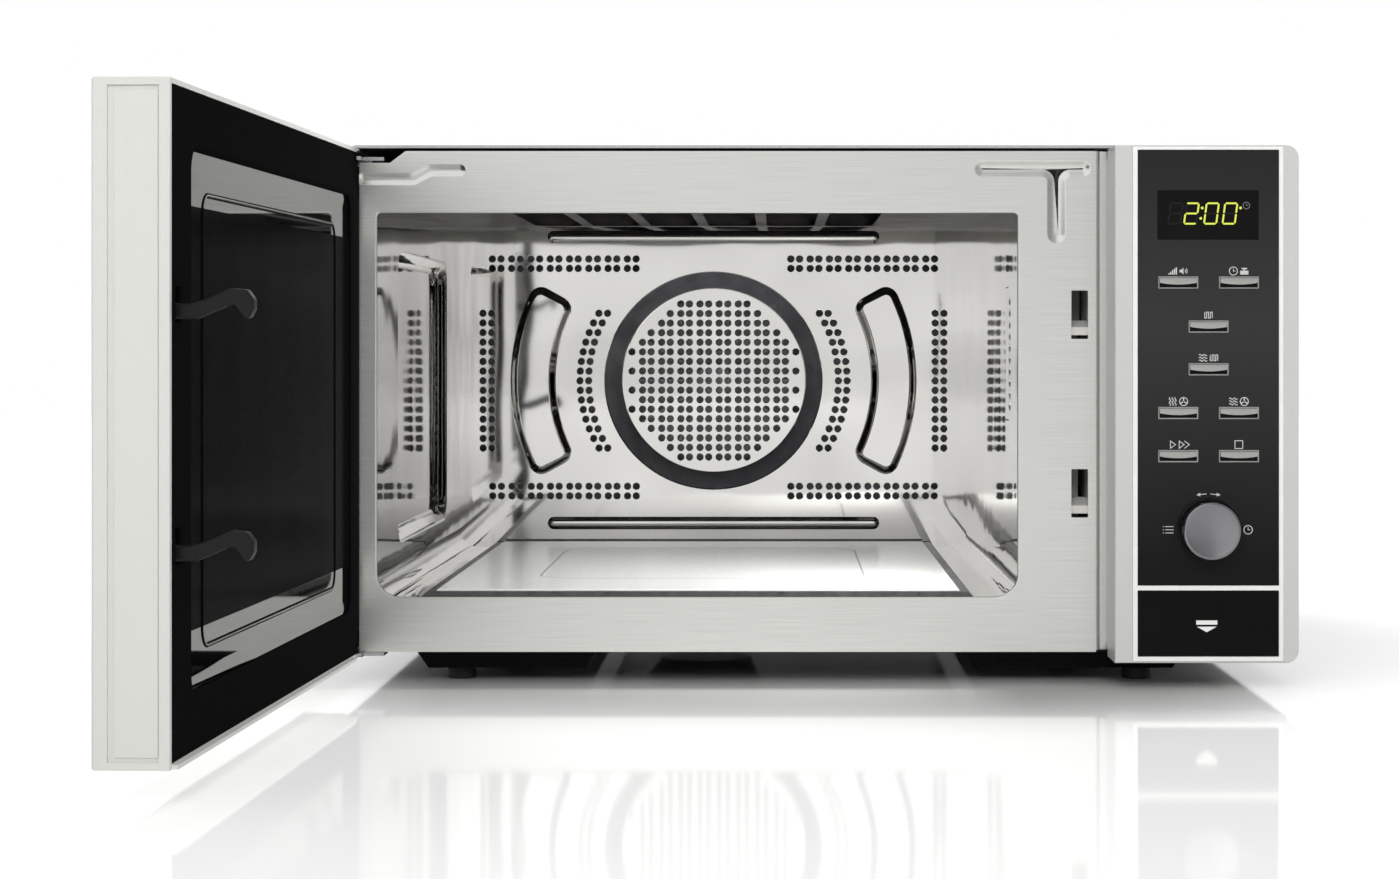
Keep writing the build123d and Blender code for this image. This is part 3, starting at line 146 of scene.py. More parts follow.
def piece(name, bm, material, node, stands_in=True, sharp=30):
    """A piece from a bmesh in millimetres, with its sharp edges marked and one material or a pair.
    It rides on the body of a CAD node, and stands in for that node or only lies on it."""
    bmesh.ops.scale(bm, vec=(MM, MM, MM), verts=bm.verts)
    for edge in bm.edges:
        edge.smooth = len(edge.link_faces) == 2 and edge.calc_face_angle(0) < math.radians(sharp)
    mesh = bpy.data.meshes.new(name)
    bm.to_mesh(mesh)
    bm.free()
    made = placed(name, mesh)
    for coat in material if isinstance(material, tuple) else (material,):
        mesh.materials.append(coat)
    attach(made, nodes[node]["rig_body"])
    if stands_in:
        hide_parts(node)
    return made


def softened(node, material, radius, sharp=30):
    """A CAD node's shape with its triangles paired and its edges rounded, as a press or a mould leaves them.
    Only faces narrower than a strip belong to a curve and are shaded round."""
    bm = bmesh.new()
    bm.from_mesh(nodes[node].data)
    bmesh.ops.scale(bm, vec=(1 / MM,) * 3, verts=bm.verts)
    bmesh.ops.remove_doubles(bm, verts=bm.verts, dist=CAD_WELD)
    bmesh.ops.join_triangles(
        bm, faces=bm.faces, angle_face_threshold=COPLANAR, angle_shape_threshold=math.pi)
    for face in bm.faces:
        face.smooth = face.calc_area() < STRIP / 2 * face.calc_perimeter()
    made = piece(node + "_shell", bm, material, node, sharp=sharp)
    rounding = made.modifiers.new("edge_rounding", "BEVEL")
    rounding.width = radius * MM
    rounding.segments = 2
    rounding.limit_method = "ANGLE"
    rounding.angle_limit = math.radians(sharp)
    return made


# Black vitreous enamel, sprayed and fired: near black, with a faint orange peel about 3 mm across.
enamel = grained(
    "black_vitreous_enamel", ("#08080A", "#101012"), (0.30, 0.42), 3.0, 0.01, Specular_IOR_Level=0.08)
softened("base_plate", enamel, 0.5)


# Feet: four moulded rubber feet with a chamfered tread and a sunk middle.
# Each is held up into a rail of the base tray by a screw.
FOOT_CORNERS = 40
FOOT_RADIUS = 8.5
FOOT_HEIGHT = 6.99
FOOT_CHAMFER = 0.6


def extent(node):
    """A CAD node's lowest and highest corner, in millimetres."""
    low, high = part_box(node)
    return low / MM, high / MM


def turned(bm, profile, centre, axis, corners, ring_shaped=False):
    """Turns a profile of (radius, height) points about an axis through a centre, upright or front to back.
    A ring's profile is a closed loop; any other is closed by a cap at each end."""
    rings = []
    for radius, height in profile:
        ring = []
        for step in range(corners):
            angle = 2 * math.pi * step / corners
            a, b = radius * math.cos(angle), radius * math.sin(angle)
            at = (a, b, height) if axis == "Z" else (a, height, b)
            ring.append(bm.verts.new(Vector(centre) + Vector(at)))
        rings.append(ring)
    for lower, upper in zip(rings, rings[1:] + rings[:1] if ring_shaped else rings[1:]):
        for step in range(corners):
            bm.faces.new((lower[step - 1], lower[step], upper[step], upper[step - 1])).smooth = True
    if not ring_shaped:
        bm.faces.new(reversed(rings[0]))
        bm.faces.new(rings[-1])
    bmesh.ops.recalc_face_normals(bm, faces=bm.faces)


# Black nitrile rubber, moulded: a dull dark grey with a fine spark-eroded grain.
rubber = grained("moulded_black_rubber", ("#161617", "#222224"), (0.55, 0.75), 0.6, 0.02)
foot_low, foot_high = extent("feet")
foot_profile = [
    (5.0, 1.2), (6.2, 0.0), (FOOT_RADIUS - FOOT_CHAMFER, 0.0), (FOOT_RADIUS, FOOT_CHAMFER),
    (FOOT_RADIUS - FOOT_CHAMFER, FOOT_HEIGHT)]
feet = bmesh.new()
for x in (foot_low.x + FOOT_RADIUS, foot_high.x - FOOT_RADIUS):
    for y in (foot_low.y + FOOT_RADIUS, foot_high.y - FOOT_RADIUS):
        turned(feet, foot_profile, (x, y, 0), "Z", FOOT_CORNERS)
piece("rubber_feet", feet, rubber, "feet")


# Oven cavity: side walls and floor bent from one bright stainless sheet. A rounded panel is pressed outwards
# in the left wall to stiffen it, the right wall has the lamp's opening, and the floor one over the antenna.
wall_low, wall_high = extent("cavity_rear_wall")
CAVITY_LEFT = wall_low.x + SHEET
CAVITY_RIGHT = wall_high.x - SHEET
CAVITY_FLOOR = wall_low.z + SHEET
CAVITY_ROOF = wall_high.z - SHEET
CAVITY_FRONT = extent("cavity_wrap")[0].y
CAVITY_REAR = extent("cavity_wrap")[1].y
CAVITY_MID = (CAVITY_LEFT + CAVITY_RIGHT) / 2
BEND = 12.7
BEND_STEPS, CORNER_STEPS = 8, 6
WALL_PRESS, PRESS_CORNER = (86, 330, 71, 243), 16
LAMP_FRONT, LAMP_REAR, LAMP_LOW, LAMP_HIGH = 42, 80, 144, 221
WELL_HALF, WELL_FRONT, WELL_REAR, WELL_CORNER = 130, 70, 340, 12
WELD = 0.002


def rounded(corners, inset=0.0):
    """Outline of corners (across, up, radius), anticlockwise, each rounded, and all set in by a distance."""
    loop = []
    for index, (x, z, radius) in enumerate(corners):
        here = Vector((x, z))
        before = (here - Vector(corners[index - 1][:2])).normalized()
        after = (Vector(corners[(index + 1) % len(corners)][:2]) - here).normalized()
        turn = math.atan2(before.cross(after), before.dot(after))
        inward = Vector((-before.y, before.x))
        onward = Vector((-after.y, after.x))
        here += (inward + onward) * inset / (1 + inward.dot(onward))
        if abs(turn) < 1e-6 or radius == 0:
            loop.append(here)
            continue
        side = 1 if turn > 0 else -1
        reach = max(radius - side * inset, 0.05)
        start = here - before * reach * math.tan(abs(turn) / 2)
        centre = start + inward * reach * side
        for step in range(CORNER_STEPS + 1):
            loop.append(centre + Matrix.Rotation(turn * step / CORNER_STEPS, 2) @ (start - centre))
    return loop


def box_corners(left, right, low, high, radius):
    """The corners of an upright box, for rounded."""
    return [(left, low, radius), (right, low, radius), (right, high, radius), (left, high, radius)]


def inside(point, loop):
    """Whether a point lies within a closed outline."""
    odd = False
    for a, b in zip(loop, loop[1:] + loop[:1]):
        if (a.y > point.y) != (b.y > point.y):
            odd ^= point.x < a.x + (point.y - a.y) / (b.y - a.y) * (b.x - a.x)
    return odd


def flat(bm, place, outer, holes, depth=0.0):
    """Fills an outline, less its holes, with triangles at one depth of a sheet."""
    loops = [outer, *holes]
    points = [point for loop in loops for point in loop]
    owner = [number for number, loop in enumerate(loops) for _ in loop]
    edges = []
    for loop in loops:
        start = len(edges)
        edges += [(start + step, start + (step + 1) % len(loop)) for step in range(len(loop))]
    places, _, faces, origins, _, _ = delaunay_2d_cdt(points, edges, [], 1, 1e-5)
    made = [bm.verts.new(place(point.x, point.y, depth)) for point in places]
    for face in faces:
        owners = {owner[origins[corner][0]] for corner in face}
        middle = sum((places[corner] for corner in face), Vector((0, 0))) / 3
        if len(owners) == 1 and owners != {0} and inside(middle, loops[owners.pop()]):
            continue
        bm.faces.new([made[corner] for corner in face])


def sheet(bm, place, outline, holes=(), presses=()):
    """A flat sheet with holes and pressed forms. A press is its outline as a function of the inset,
    its profile of (inset, depth) steps, and the holes in its floor, or None if it has no floor."""
    flat(bm, place, outline, [*holes, *(shape(profile[0][0]) for shape, profile, _ in presses)])
    for shape, profile, floor_holes in presses:
        rings = []
        for inset, depth in profile:
            rings.append([bm.verts.new(place(point.x, point.y, depth)) for point in shape(inset)])
        for outer, inner in zip(rings, rings[1:]):
            for step in range(len(outer)):
                bm.faces.new((outer[step - 1], outer[step], inner[step], inner[step - 1])).smooth = True
        if floor_holes is not None:
            flat(bm, place, shape(profile[-1][0]), floor_holes, profile[-1][1])
    bmesh.ops.remove_doubles(bm, verts=bm.verts, dist=WELD)


def pressed(corners, profile, floor_holes=()):
    """A press with rounded corners, for a sheet."""
    return (lambda inset: rounded(corners, inset)), profile, floor_holes


def thickened(made, thickness, outward=-1):
    """Gives a sheet its thickness, behind its face or in front of it."""
    gauge = made.modifiers.new("gauge", "SOLIDIFY")
    gauge.thickness = thickness * MM
    gauge.offset = outward


# Bright annealed stainless steel: nearly a mirror, with the slow waves of pressed sheet, about 70 mm long.
polished = grained(
    "bright_annealed_stainless", ("#CFCECB", "#DEDDDA"), (0.03, 0.06), 70.0, 0.35, detail=1, Metallic=1.0)

press_steps = [(0, 0), (1.0, 0.15), (2.5, 1.0), (5.5, 4.6), (7.0, 5.7), (9.0, 6.0)]
bend_top = CAVITY_FLOOR + BEND
wall_outline = rounded(box_corners(CAVITY_FRONT, CAVITY_REAR, bend_top, CAVITY_ROOF, 0))
lamp_opening = rounded(box_corners(LAMP_FRONT, LAMP_REAR, LAMP_LOW, LAMP_HIGH, 1.0))
cavity = bmesh.new()
left_press = [pressed(box_corners(*WALL_PRESS, PRESS_CORNER), press_steps)]
for side, mirror, openings, presses in (
        (CAVITY_LEFT, 1, [], left_press), (CAVITY_RIGHT, -1, [lamp_opening], [])):
    sheet(cavity, lambda y, z, depth: (side - mirror * depth, y, z), wall_outline, openings, presses)
    arc = []
    for step in range(BEND_STEPS + 1):
        angle = math.pi / 2 * step / BEND_STEPS
        across = side + mirror * BEND * (1 - math.cos(angle))
        height = bend_top - BEND * math.sin(angle)
        arc.append([cavity.verts.new((across, y, height)) for y in (CAVITY_FRONT, CAVITY_REAR)])
    for outer, inner in zip(arc, arc[1:]):
        cavity.faces.new((outer[0], inner[0], inner[1], outer[1])).smooth = True
right_faces = [face for face in cavity.faces if face.calc_center_median().x > CAVITY_MID]
bmesh.ops.reverse_faces(cavity, faces=right_faces)
floor_outline = rounded(box_corners(CAVITY_LEFT + BEND, CAVITY_RIGHT - BEND, CAVITY_FRONT, CAVITY_REAR, 0))
well_opening = rounded(box_corners(
    CAVITY_MID - WELL_HALF, CAVITY_MID + WELL_HALF, WELL_FRONT, WELL_REAR, WELL_CORNER))
sheet(cavity, lambda x, y, depth: (x, y, CAVITY_FLOOR - depth), floor_outline, [well_opening])
thickened(piece("cavity_liner", cavity, polished, "cavity_wrap"), SHEET)


# Lamp screen: a small patch of stainless sheet with two columns of punched holes, spot-welded over the lamp's
# opening. It lets the light in and keeps the microwaves from the lamp.
HOLE_PITCH = 6.71
HOLE_RADIUS = 2.25
SCREEN_ROWS, SCREEN_COLUMNS = 10, 2
SCREEN_START = (57.6, 152.3)
SCREEN_LAP = 4


def round_hole(x, z, radius, sides=14):
    """A circle's points."""
    angles = [2 * math.pi * k / sides for k in range(sides)]
    return [Vector((x + radius * math.cos(angle), z + radius * math.sin(angle))) for angle in angles]


def plunged(x, z):
    """A punched hole whose edge is drawn in by the punch."""
    lip = [(-0.45, 0), (-0.2, 0.06), (0, 0.3), (0, 0.7)]
    return (lambda inset: round_hole(x, z, HOLE_RADIUS - inset)), lip, None


screen = bmesh.new()
screen_holes = []
for row in range(SCREEN_ROWS):
    for column in range(SCREEN_COLUMNS):
        screen_holes.append(plunged(
            -(SCREEN_START[0] + HOLE_PITCH * column), SCREEN_START[1] + HOLE_PITCH * row))
screen_outline = rounded(box_corners(
    -LAMP_REAR - SCREEN_LAP, -LAMP_FRONT + SCREEN_LAP, LAMP_LOW - SCREEN_LAP, LAMP_HIGH + SCREEN_LAP, 3))
sheet(screen, lambda y, z, depth: (CAVITY_RIGHT + SHEET + depth, -y, z), screen_outline, presses=screen_holes)
thickened(piece("lamp_screen_sheet", screen, polished, "lamp_screen"), SHEET)


# Rear wall: one bright stainless pressing. A deep dish holds the fan's perforated intake, rows of holes
# let the hot air out, and two kidney-shaped presses and two long beads keep the sheet from drumming.
DISC_Z = 162.9
DISC_RIM = 76.1
DISC_SLOPE = 12.2
DISC_RECESS = 12.0
DISC_SIDES = 96
DISC_ROWS = (8, 10, 12, 14, 16, 18, 16, 18, 16, 18, 16, 18, 16, 14, 12, 10, 8)
DRAFT = 0.0152
PAIR_PITCH = 13.43
PAIR_GAP = 6.07
OUTLET_ROWS, ROW_START, ROW_HOLES = (247.7, 241.1, 89.2, 82.5), 53.2, 16
COLUMN_REACH, COLUMN_ROWS = 157.5, 15
ARC_RADIUS = 90.0
KIDNEY_MIDDLE, KIDNEY_HALF, KIDNEY_CORNER = 125.6, 15.9, 9.0
KIDNEY_ANGLE = math.radians(29)
BEAD_HEIGHTS, BEAD_LENGTH, BEAD_WIDTH, BEAD_CORNER = (262.8, 63.6), 231.0, 8.8, 4.3


def paired_offsets(count):
    """Distances from the middle of a row of paired holes, on one side."""
    return [PAIR_PITCH * (k // 2 + 0.5) + (k % 2 - 0.5) * PAIR_GAP for k in range(count)]


def dish(inset):
    """The dish's outline, round the disc's middle."""
    points = round_hole(0, 0, DISC_RIM - inset, DISC_SIDES)
    return [Vector((CAVITY_MID, DISC_Z)) + point for point in points]


disc_holes = []
for row, count in enumerate(DISC_ROWS):
    height = DISC_Z + HOLE_PITCH * ((len(DISC_ROWS) - 1) / 2 - row)
    for reach in paired_offsets(count // 2):
        disc_holes += [(CAVITY_MID + side * reach, height) for side in (-1, 1)]

outlets = []
for side in (-1, 1):
    for height in OUTLET_ROWS:
        for reach in paired_offsets(ROW_HOLES):
            outlets.append((CAVITY_MID + side * (ROW_START + reach - PAIR_GAP / 2), height))
    for row in range(COLUMN_ROWS):
        rise = HOLE_PITCH * (row - (COLUMN_ROWS - 1) / 2)
        for pair in (-1, 1):
            arc_reach = math.sqrt(ARC_RADIUS ** 2 - rise ** 2) + pair * PAIR_GAP / 2
            outlets.append((CAVITY_MID + side * (COLUMN_REACH + pair * PAIR_GAP / 2), DISC_Z + rise))
            outlets.append((CAVITY_MID + side * arc_reach, DISC_Z + rise))


def kidney(side):
    """The kidney's outline, as a rounded bar bent round the disc's middle."""
    half_length = KIDNEY_MIDDLE * KIDNEY_ANGLE
    stops = [half_length * (k / 8 - 1) for k in range(2, 15)]
    start_low, end_low, end_high, start_high = box_corners(
        -half_length, half_length, -KIDNEY_HALF, KIDNEY_HALF, KIDNEY_CORNER)
    corners = [start_low] + [(s, -KIDNEY_HALF, 0) for s in stops] + [end_low, end_high]
    corners += [(s, KIDNEY_HALF, 0) for s in reversed(stops)] + [start_high]

    def shape(inset):
        loop = []
        for along, across in rounded(corners, inset):
            angle = along / KIDNEY_MIDDLE
            reach = KIDNEY_MIDDLE - across
            loop.append(Vector((
                CAVITY_MID + side * reach * math.cos(angle), DISC_Z + reach * math.sin(angle) * side)))
        return loop
    return shape


dish_steps = [(0, 0), (0.5, 0.25), (1.2, 1.0), (DISC_SLOPE - 1.3, DISC_RECESS - 0.7),
              (DISC_SLOPE - 0.6, DISC_RECESS - 0.15), (DISC_SLOPE, DISC_RECESS)]
kidney_steps = [(0, 0), (0.6, -0.15), (1.3, -0.8), (3.8, -3.2), (4.6, -3.85), (5.4, -4.0)]
bead_steps = [(0, 0), (0.3, -0.25), (0.8, -1.2), (1.5, -2.2), (2.4, -2.9), (3.4, -3.2), (4.1, -3.25)]
presses = [(dish, dish_steps, None)]
presses += [(kidney(side), kidney_steps, []) for side in (-1, 1)]
for height in BEAD_HEIGHTS:
    presses.append(pressed(box_corners(
        CAVITY_MID - BEAD_LENGTH / 2, CAVITY_MID + BEAD_LENGTH / 2,
        height - BEAD_WIDTH / 2, height + BEAD_WIDTH / 2, BEAD_CORNER), bead_steps))
rear_outline = rounded(box_corners(wall_low.x, wall_high.x, wall_low.z, wall_high.z, 0))
rear = bmesh.new()
sheet(rear, lambda x, z, depth: (x, CAVITY_REAR + depth, z), rear_outline,
      presses=presses + [plunged(x, z) for x, z in outlets])
sheet(rear, lambda x, z, depth: (x, CAVITY_REAR + DISC_RECESS + depth, z), dish(DISC_SLOPE),
      presses=[plunged(x, z) for x, z in disc_holes])
# The wall leans forward towards the roof by the draft of a drawn cavity.
for vertex in rear.verts:
    vertex.co.y -= (vertex.co.z - CAVITY_FLOOR) * DRAFT
# The drawn wall of the dish is the second material: a darker steel, a painted dark reflection of the recessed
# ring.
dish_painted_dark = grained("painted_dark_dish_steel", ("#828286", "#96969A"), (0.2, 0.28), 14.0, 0.01, Metallic=0.9)
# Faces on the dish's sloping wall take the darker steel: painted dark reflection.
for face in rear.faces:
    x, y, z = face.calc_center_median()
    depth = y - CAVITY_REAR + (z - CAVITY_FLOOR) * DRAFT
    if 0.3 < depth < DISC_RECESS - 0.1 and math.hypot(x - CAVITY_MID, z - DISC_Z) > DISC_RIM - DISC_SLOPE:
        face.material_index = 1
thickened(piece("perforated_rear_wall", rear, (polished, dish_painted_dark), "cavity_rear_wall"), SHEET)


# Roof: a stainless sheet, spot-welded to the walls, with six long windows through which the grill tubes heat
# the food. The lip of each window is turned up, and the whole sheet is coloured dark: a painted dark
# reflection.
ROOF_WINDOWS, ROOF_START, ROOF_PITCH = 6, -189.5, 40
ROOF_OPENING, ROOF_FRONT, ROOF_REAR, ROOF_CORNER = 34, 60, 394, 10
roof = bmesh.new()
roof_outline = rounded(box_corners(CAVITY_LEFT - SHEET, CAVITY_RIGHT + SHEET, CAVITY_FRONT, CAVITY_REAR, 0))
roof_steps = [(0, 0), (0.4, 0.1), (0.6, 0.5), (0.6, 0.8)]
roof_lips = []
for window in range(ROOF_WINDOWS):
    left = ROOF_START + ROOF_PITCH * window
    edge = box_corners(left, left + ROOF_OPENING, ROOF_FRONT, ROOF_REAR, ROOF_CORNER)
    roof_lips.append(pressed(edge, roof_steps, None))
sheet(roof, lambda x, y, depth: (x, y, CAVITY_ROOF + depth), roof_outline, presses=roof_lips)
bmesh.ops.reverse_faces(roof, faces=roof.faces)
# Painted dark reflection on the roof's steel: dark, with hardly a sheen, in clouds about 25 mm across.
roof_painted_dark = grained("painted_dark_roof_steel", ("#242428", "#3C3836"), (0.3, 0.4), 25.0, 0.01, Specular_IOR_Level=0.02)
thickened(piece("slotted_roof", roof, roof_painted_dark, "cavity_roof"), SHEET)


# Ceramic floor plate: a flat glass-ceramic plate that lies in the cavity's floor over the antenna, ground at
# its edges, with a fine printed guide line. It is bedded in a bead of dark grey silicone.
GUIDE_HALF, GUIDE_FRONT, GUIDE_REAR, GUIDE_CORNER = 96, 85, 330, 26
GUIDE_LINE, GUIDE_LIFT, GUIDE_DEPTH = 0.9, 0.02, 0.03
plate_top = extent("ceramic_floor")[1].z
# Glass-ceramic, ground matt: a warm white with a soft sheen and fine clouding about 4 mm across.
ceramic = grained(
    "ground_glass_ceramic", ("#F8F8F6", "#FCFCFA"), (0.17, 0.2), 4.0, 0.0, Specular_IOR_Level=0.1)
softened("ceramic_floor", ceramic, 0.5)
# Ceramic ink, fired on: a thin grey line.
fired_ink = grained("fired_grey_ink", ("#A09F9B", "#B4B3AF"), (0.4, 0.5), 0.8, 0.002)
guide = bmesh.new()
guide_corners = box_corners(
    CAVITY_MID - GUIDE_HALF, CAVITY_MID + GUIDE_HALF, GUIDE_FRONT, GUIDE_REAR, GUIDE_CORNER)
sheet(guide, lambda x, y, depth: (x, y, plate_top + GUIDE_LIFT), rounded(guide_corners),
      [rounded(guide_corners, GUIDE_LINE)])
thickened(piece("guide_line", guide, fired_ink, "ceramic_floor", stands_in=False), GUIDE_DEPTH, 1)
# Silicone sealant, tooled while wet: a dark translucent grey with a wet edge.
silicone = grained("tooled_silicone", ("#3C3C3C", "#565656"), (0.25, 0.4), 6.0, 0.05)
softened("floor_seal", silicone, 0.4)


# Front frame: brushed stainless sheet folded round the front of the cabinet. Its mouth is rolled back to meet
# the cavity, two slots let the door hooks through, and a T-shaped and a stepped groove stiffen its corners.
frame_low, frame_high = extent("front_frame")
JOGGLE_EDGE = 154.2
JOGGLE = 4.0
FOLD_RADIUS, FOLD_LOW, FOLD_STEPS = 2.2, 19, 6
NOTCH_TOP, NOTCH_FOOT, NOTCH_Z = -227.3, -235.8, 288.2
MOUTH_LOW, MOUTH_HIGH = 48.4, 260.5
SLOT_LEFT, SLOT_RIGHT, SLOT_HALF = 140.6, 149.8, 13.4
HOOK_HEIGHTS = (105.6, 204.3)

# Brushed stainless steel: ground with a belt along its width, so that it shows level streaks and a soft,
# wide highlight. Real scratches are about 0.05 mm wide, and are drawn 0.45 mm wide to show here.
brushed = grained(
    "brushed_stainless_steel", ("#DADBD6", "#EAEBE6"), (0.28, 0.36), (40, 0.45, 0.45), 0.006, detail=5,
    Metallic=1.0, Anisotropic=0.4)

face_outline = rounded([
    (frame_low.x, frame_low.z, 0), (JOGGLE_EDGE, frame_low.z, 0), (JOGGLE_EDGE, frame_high.z, 0),
    (NOTCH_TOP, frame_high.z, 2), (NOTCH_FOOT, NOTCH_Z, 2), (frame_low.x, NOTCH_Z, 0)])
mouth = [(CAVITY_LEFT, MOUTH_LOW, BEND), (CAVITY_RIGHT, MOUTH_LOW, BEND),
         (CAVITY_RIGHT, MOUTH_HIGH, 2), (CAVITY_LEFT, MOUTH_HIGH, 2)]
tee = [(127.1, 243.7, 5.2), (137.7, 243.7, 5.2), (137.7, 280.4, 2.5), (151.4, 280.4, 4.4),
       (151.4, 289.6, 4.4), (87.2, 289.6, 4.4), (87.2, 280.4, 4.4), (127.1, 280.4, 2.5)]
step_groove = [(-254, 275.8, 3.3), (-222, 275.8, 8), (-213, 280.7, 8), (-194, 280.7, 3.3), (-194, 287.4, 3.3),
               (-215, 287.4, 8), (-224, 282.6, 8), (-254, 282.6, 3.3)]
mouth_steps = [(-1.0, 0), (-0.5, 0.1), (-0.1, 0.5), (0, 1.0), (0, 1.6)]
groove_steps = [(0, 0), (0.35, 0.08), (0.9, 0.5), (1.6, 1.0), (2.3, 1.3), (3.0, 1.4)]
tee_steps = [(0, 0), (0.5, 0.12), (1.2, 0.6), (2.0, 1.25), (2.8, 1.7), (3.6, 1.95), (4.2, 2.0)]
front = bmesh.new()
slots = []
for height in HOOK_HEIGHTS:
    slots.append(rounded(box_corners(SLOT_LEFT, SLOT_RIGHT, height - SLOT_HALF, height + SLOT_HALF, 0.5)))
sheet(front, lambda x, z, depth: (x, depth, z), face_outline, slots, [
    pressed(mouth, mouth_steps, None), pressed(tee, tee_steps), pressed(step_groove, groove_steps)])


def folded(bm, profile, low, high):
    """A strip folded from a sheet: a profile of (across, depth) points carried up from low to high."""
    edges = [[bm.verts.new((x, y, z)) for z in (low, high)] for x, y in profile]
    for left, right in zip(edges, edges[1:]):
        bm.faces.new((left[0], right[0], right[1], left[1])).smooth = True


fold = []
for step in range(FOLD_STEPS + 1):
    angle = math.pi / 2 * step / FOLD_STEPS
    fold.append((JOGGLE_EDGE + FOLD_RADIUS * math.sin(angle), FOLD_RADIUS * (1 - math.cos(angle))))
fold += [(JOGGLE_EDGE + FOLD_RADIUS, JOGGLE), (frame_high.x, JOGGLE)]
folded(front, fold, FOLD_LOW, frame_high.z)
bmesh.ops.remove_doubles(front, verts=front.verts, dist=WELD)
thickened(piece("brushed_front", front, brushed, "front_frame"), SHEET)


# Works inside the cabinet: magnetron, transformer, capacitor, fans, motors, heaters, boards and ducts,
# mostly unpainted, fixed to the cavity and the base. They only show through slots and holes.
# Galvanised steel: hot-dipped, with grey spangle about 9 mm across.
galvanised = grained("galvanised_steel", ("#93979A", "#A8ABAC"), (0.35, 0.5), 9.0, 0.01, Metallic=0.9)
# Die-cast and drawn aluminium: dull and faintly cloudy.
aluminium = grained("drawn_aluminium", ("#A6A7A8", "#C2C3C3"), (0.35, 0.5), 2.0, 0.01, Metallic=1.0)
# Plain cold-rolled steel, zinc plated bright: fine rolling lines.
plated = grained("bright_zinc_plate", ("#A5A8AA", "#CDCFD0"), (0.2, 0.34), (0.4, 8, 0.4), 0.006, Metallic=1.0)
# Glass-filled black nylon, moulded: dull, with a fine grain.
nylon = grained("black_nylon", ("#111112", "#1C1C1E"), (0.45, 0.6), 0.5, 0.02)
# White nylon, moulded: an off-white with the same fine grain.
white_nylon = grained("white_nylon", ("#D6D5D0", "#E2E1DC"), (0.4, 0.5), 0.5, 0.02)
# Epoxy glass board with green solder mask: dark green, faintly mottled by its weave.
board = grained("green_circuit_board", ("#1A4029", "#285B3C"), (0.3, 0.4), 1.5, 0.01)
# Enamelled copper wire, wound in layers: reddish brown, ribbed by its turns.
copper = grained("enamelled_copper", ("#5F3219", "#945632"), (0.35, 0.5), (8, 8, 0.9), 0.1, Metallic=0.8)
# Fused quartz tube, clouded by its coil.
quartz = grained("fused_quartz", ("#C9C6BF", "#E4E2DD"), (0.15, 0.3), 3.0, 0.01, IOR=1.46)
works = {
    "galvanised": galvanised, "aluminium": aluminium, "bright_steel": plated, "black_plastic": nylon,
    "white_plastic": white_nylon, "board": board, "copper_coil": copper, "quartz": quartz,
    "cavity_steel": polished,
}
INNER_NODES = (
    "stirrer_well", "waveguide", "magnetron", "transformer", "capacitor", "rectifier_diode", "fan_shroud",
    "fan_motor", "cooling_fan", "convection_fan", "convection_housing", "convection_heater",
    "convection_motor", "stirrer", "stirrer_motor", "grill_element", "grill_housing", "cavity_lamp",
    "control_board", "noise_filter", "latch_board", "interlock_switches", "thermal_cutouts", "release_slider",
)
for name in INNER_NODES:
    nodes[name].data.materials.clear()
    # The grill housing, seen through the roof's windows, takes the roof's painted dark reflection.
    nodes[name].data.materials.append(roof_painted_dark if name == "grill_housing" else works[slot_of[name]])


# Rear panel and lead bush: galvanised sheet with louvre slots for the fan and the oven's exhaust, and a
# moulded bush where the mains lead goes in.
softened("rear_panel", galvanised, 0.2)
softened("cord_gland", nylon, 0.5)


# Outer cover: top and sides, folded from one sheet of steel and powder-coated.
# It is flanged over the rear panel and screwed there.
# Silver polyester powder coat: light grey, with the fine pebbled skin of baked powder, about 1.2 mm across.
powder = grained("silver_powder_coat", ("#AFB1B0", "#C4C6C5"), (0.36, 0.5), 1.2, 0.03, Metallic=0.35)
softened("outer_cover", powder, 0.25, sharp=40)
softened("cabinet_screws", plated, 0.5)


# Control panel housing: a deep moulded box that stands proud of the front frame, level with the closed door.
# Its right-hand corners are rounded, and a step round its face takes the white trim and the black fascia.
# Silver-lacquered ABS: a pale grey with fine flake, about 0.3 mm across, under a thin clear coat.
silver_abs = grained(
    "silver_lacquered_abs", ("#C6C7C5", "#D3D4D2"), (0.34, 0.44), 0.3, 0.002,
    Coat_Weight=0.3, Coat_Roughness=0.2)
softened("panel_housing", silver_abs, 0.7)


# Panel trim: a thin white frame, moulded in one piece.
# It is pressed into the housing round the fascia and the open key.
# White ABS, moulded against a polished tool: clean and glossy, with faint flow about 12 mm long.
white_abs = grained("white_abs", ("#F0F0EE", "#F6F6F4"), (0.2, 0.28), 12.0, 0.003)
softened("panel_trim", white_abs, 0.25)


# Fascia: a gloss black acrylic plate, glued into the trim, open for the display, the keys and the knob.
# Its pictures are screen-printed in pale ink, each above the key that it belongs to.
PANEL_FACE = extent("display_window")[0].y
INK_DEPTH = 0.04
INK_LINE = 0.42
RING_SIDES = 24
PICTURE_RADIUS = 2.2
KEY_PICTURE_RISE = 6.2
STEM_OPENING = 4.0

# Cast acrylic, polished: deep black and glossy, with a faint flow about 30 mm long.
acrylic = grained(
    "gloss_black_acrylic", ("#0C0A0A", "#0E0C0C"), (0.1, 0.15), 30.0, 0.01, Specular_IOR_Level=0.1)
fascia_low, fascia_high = extent("fascia")
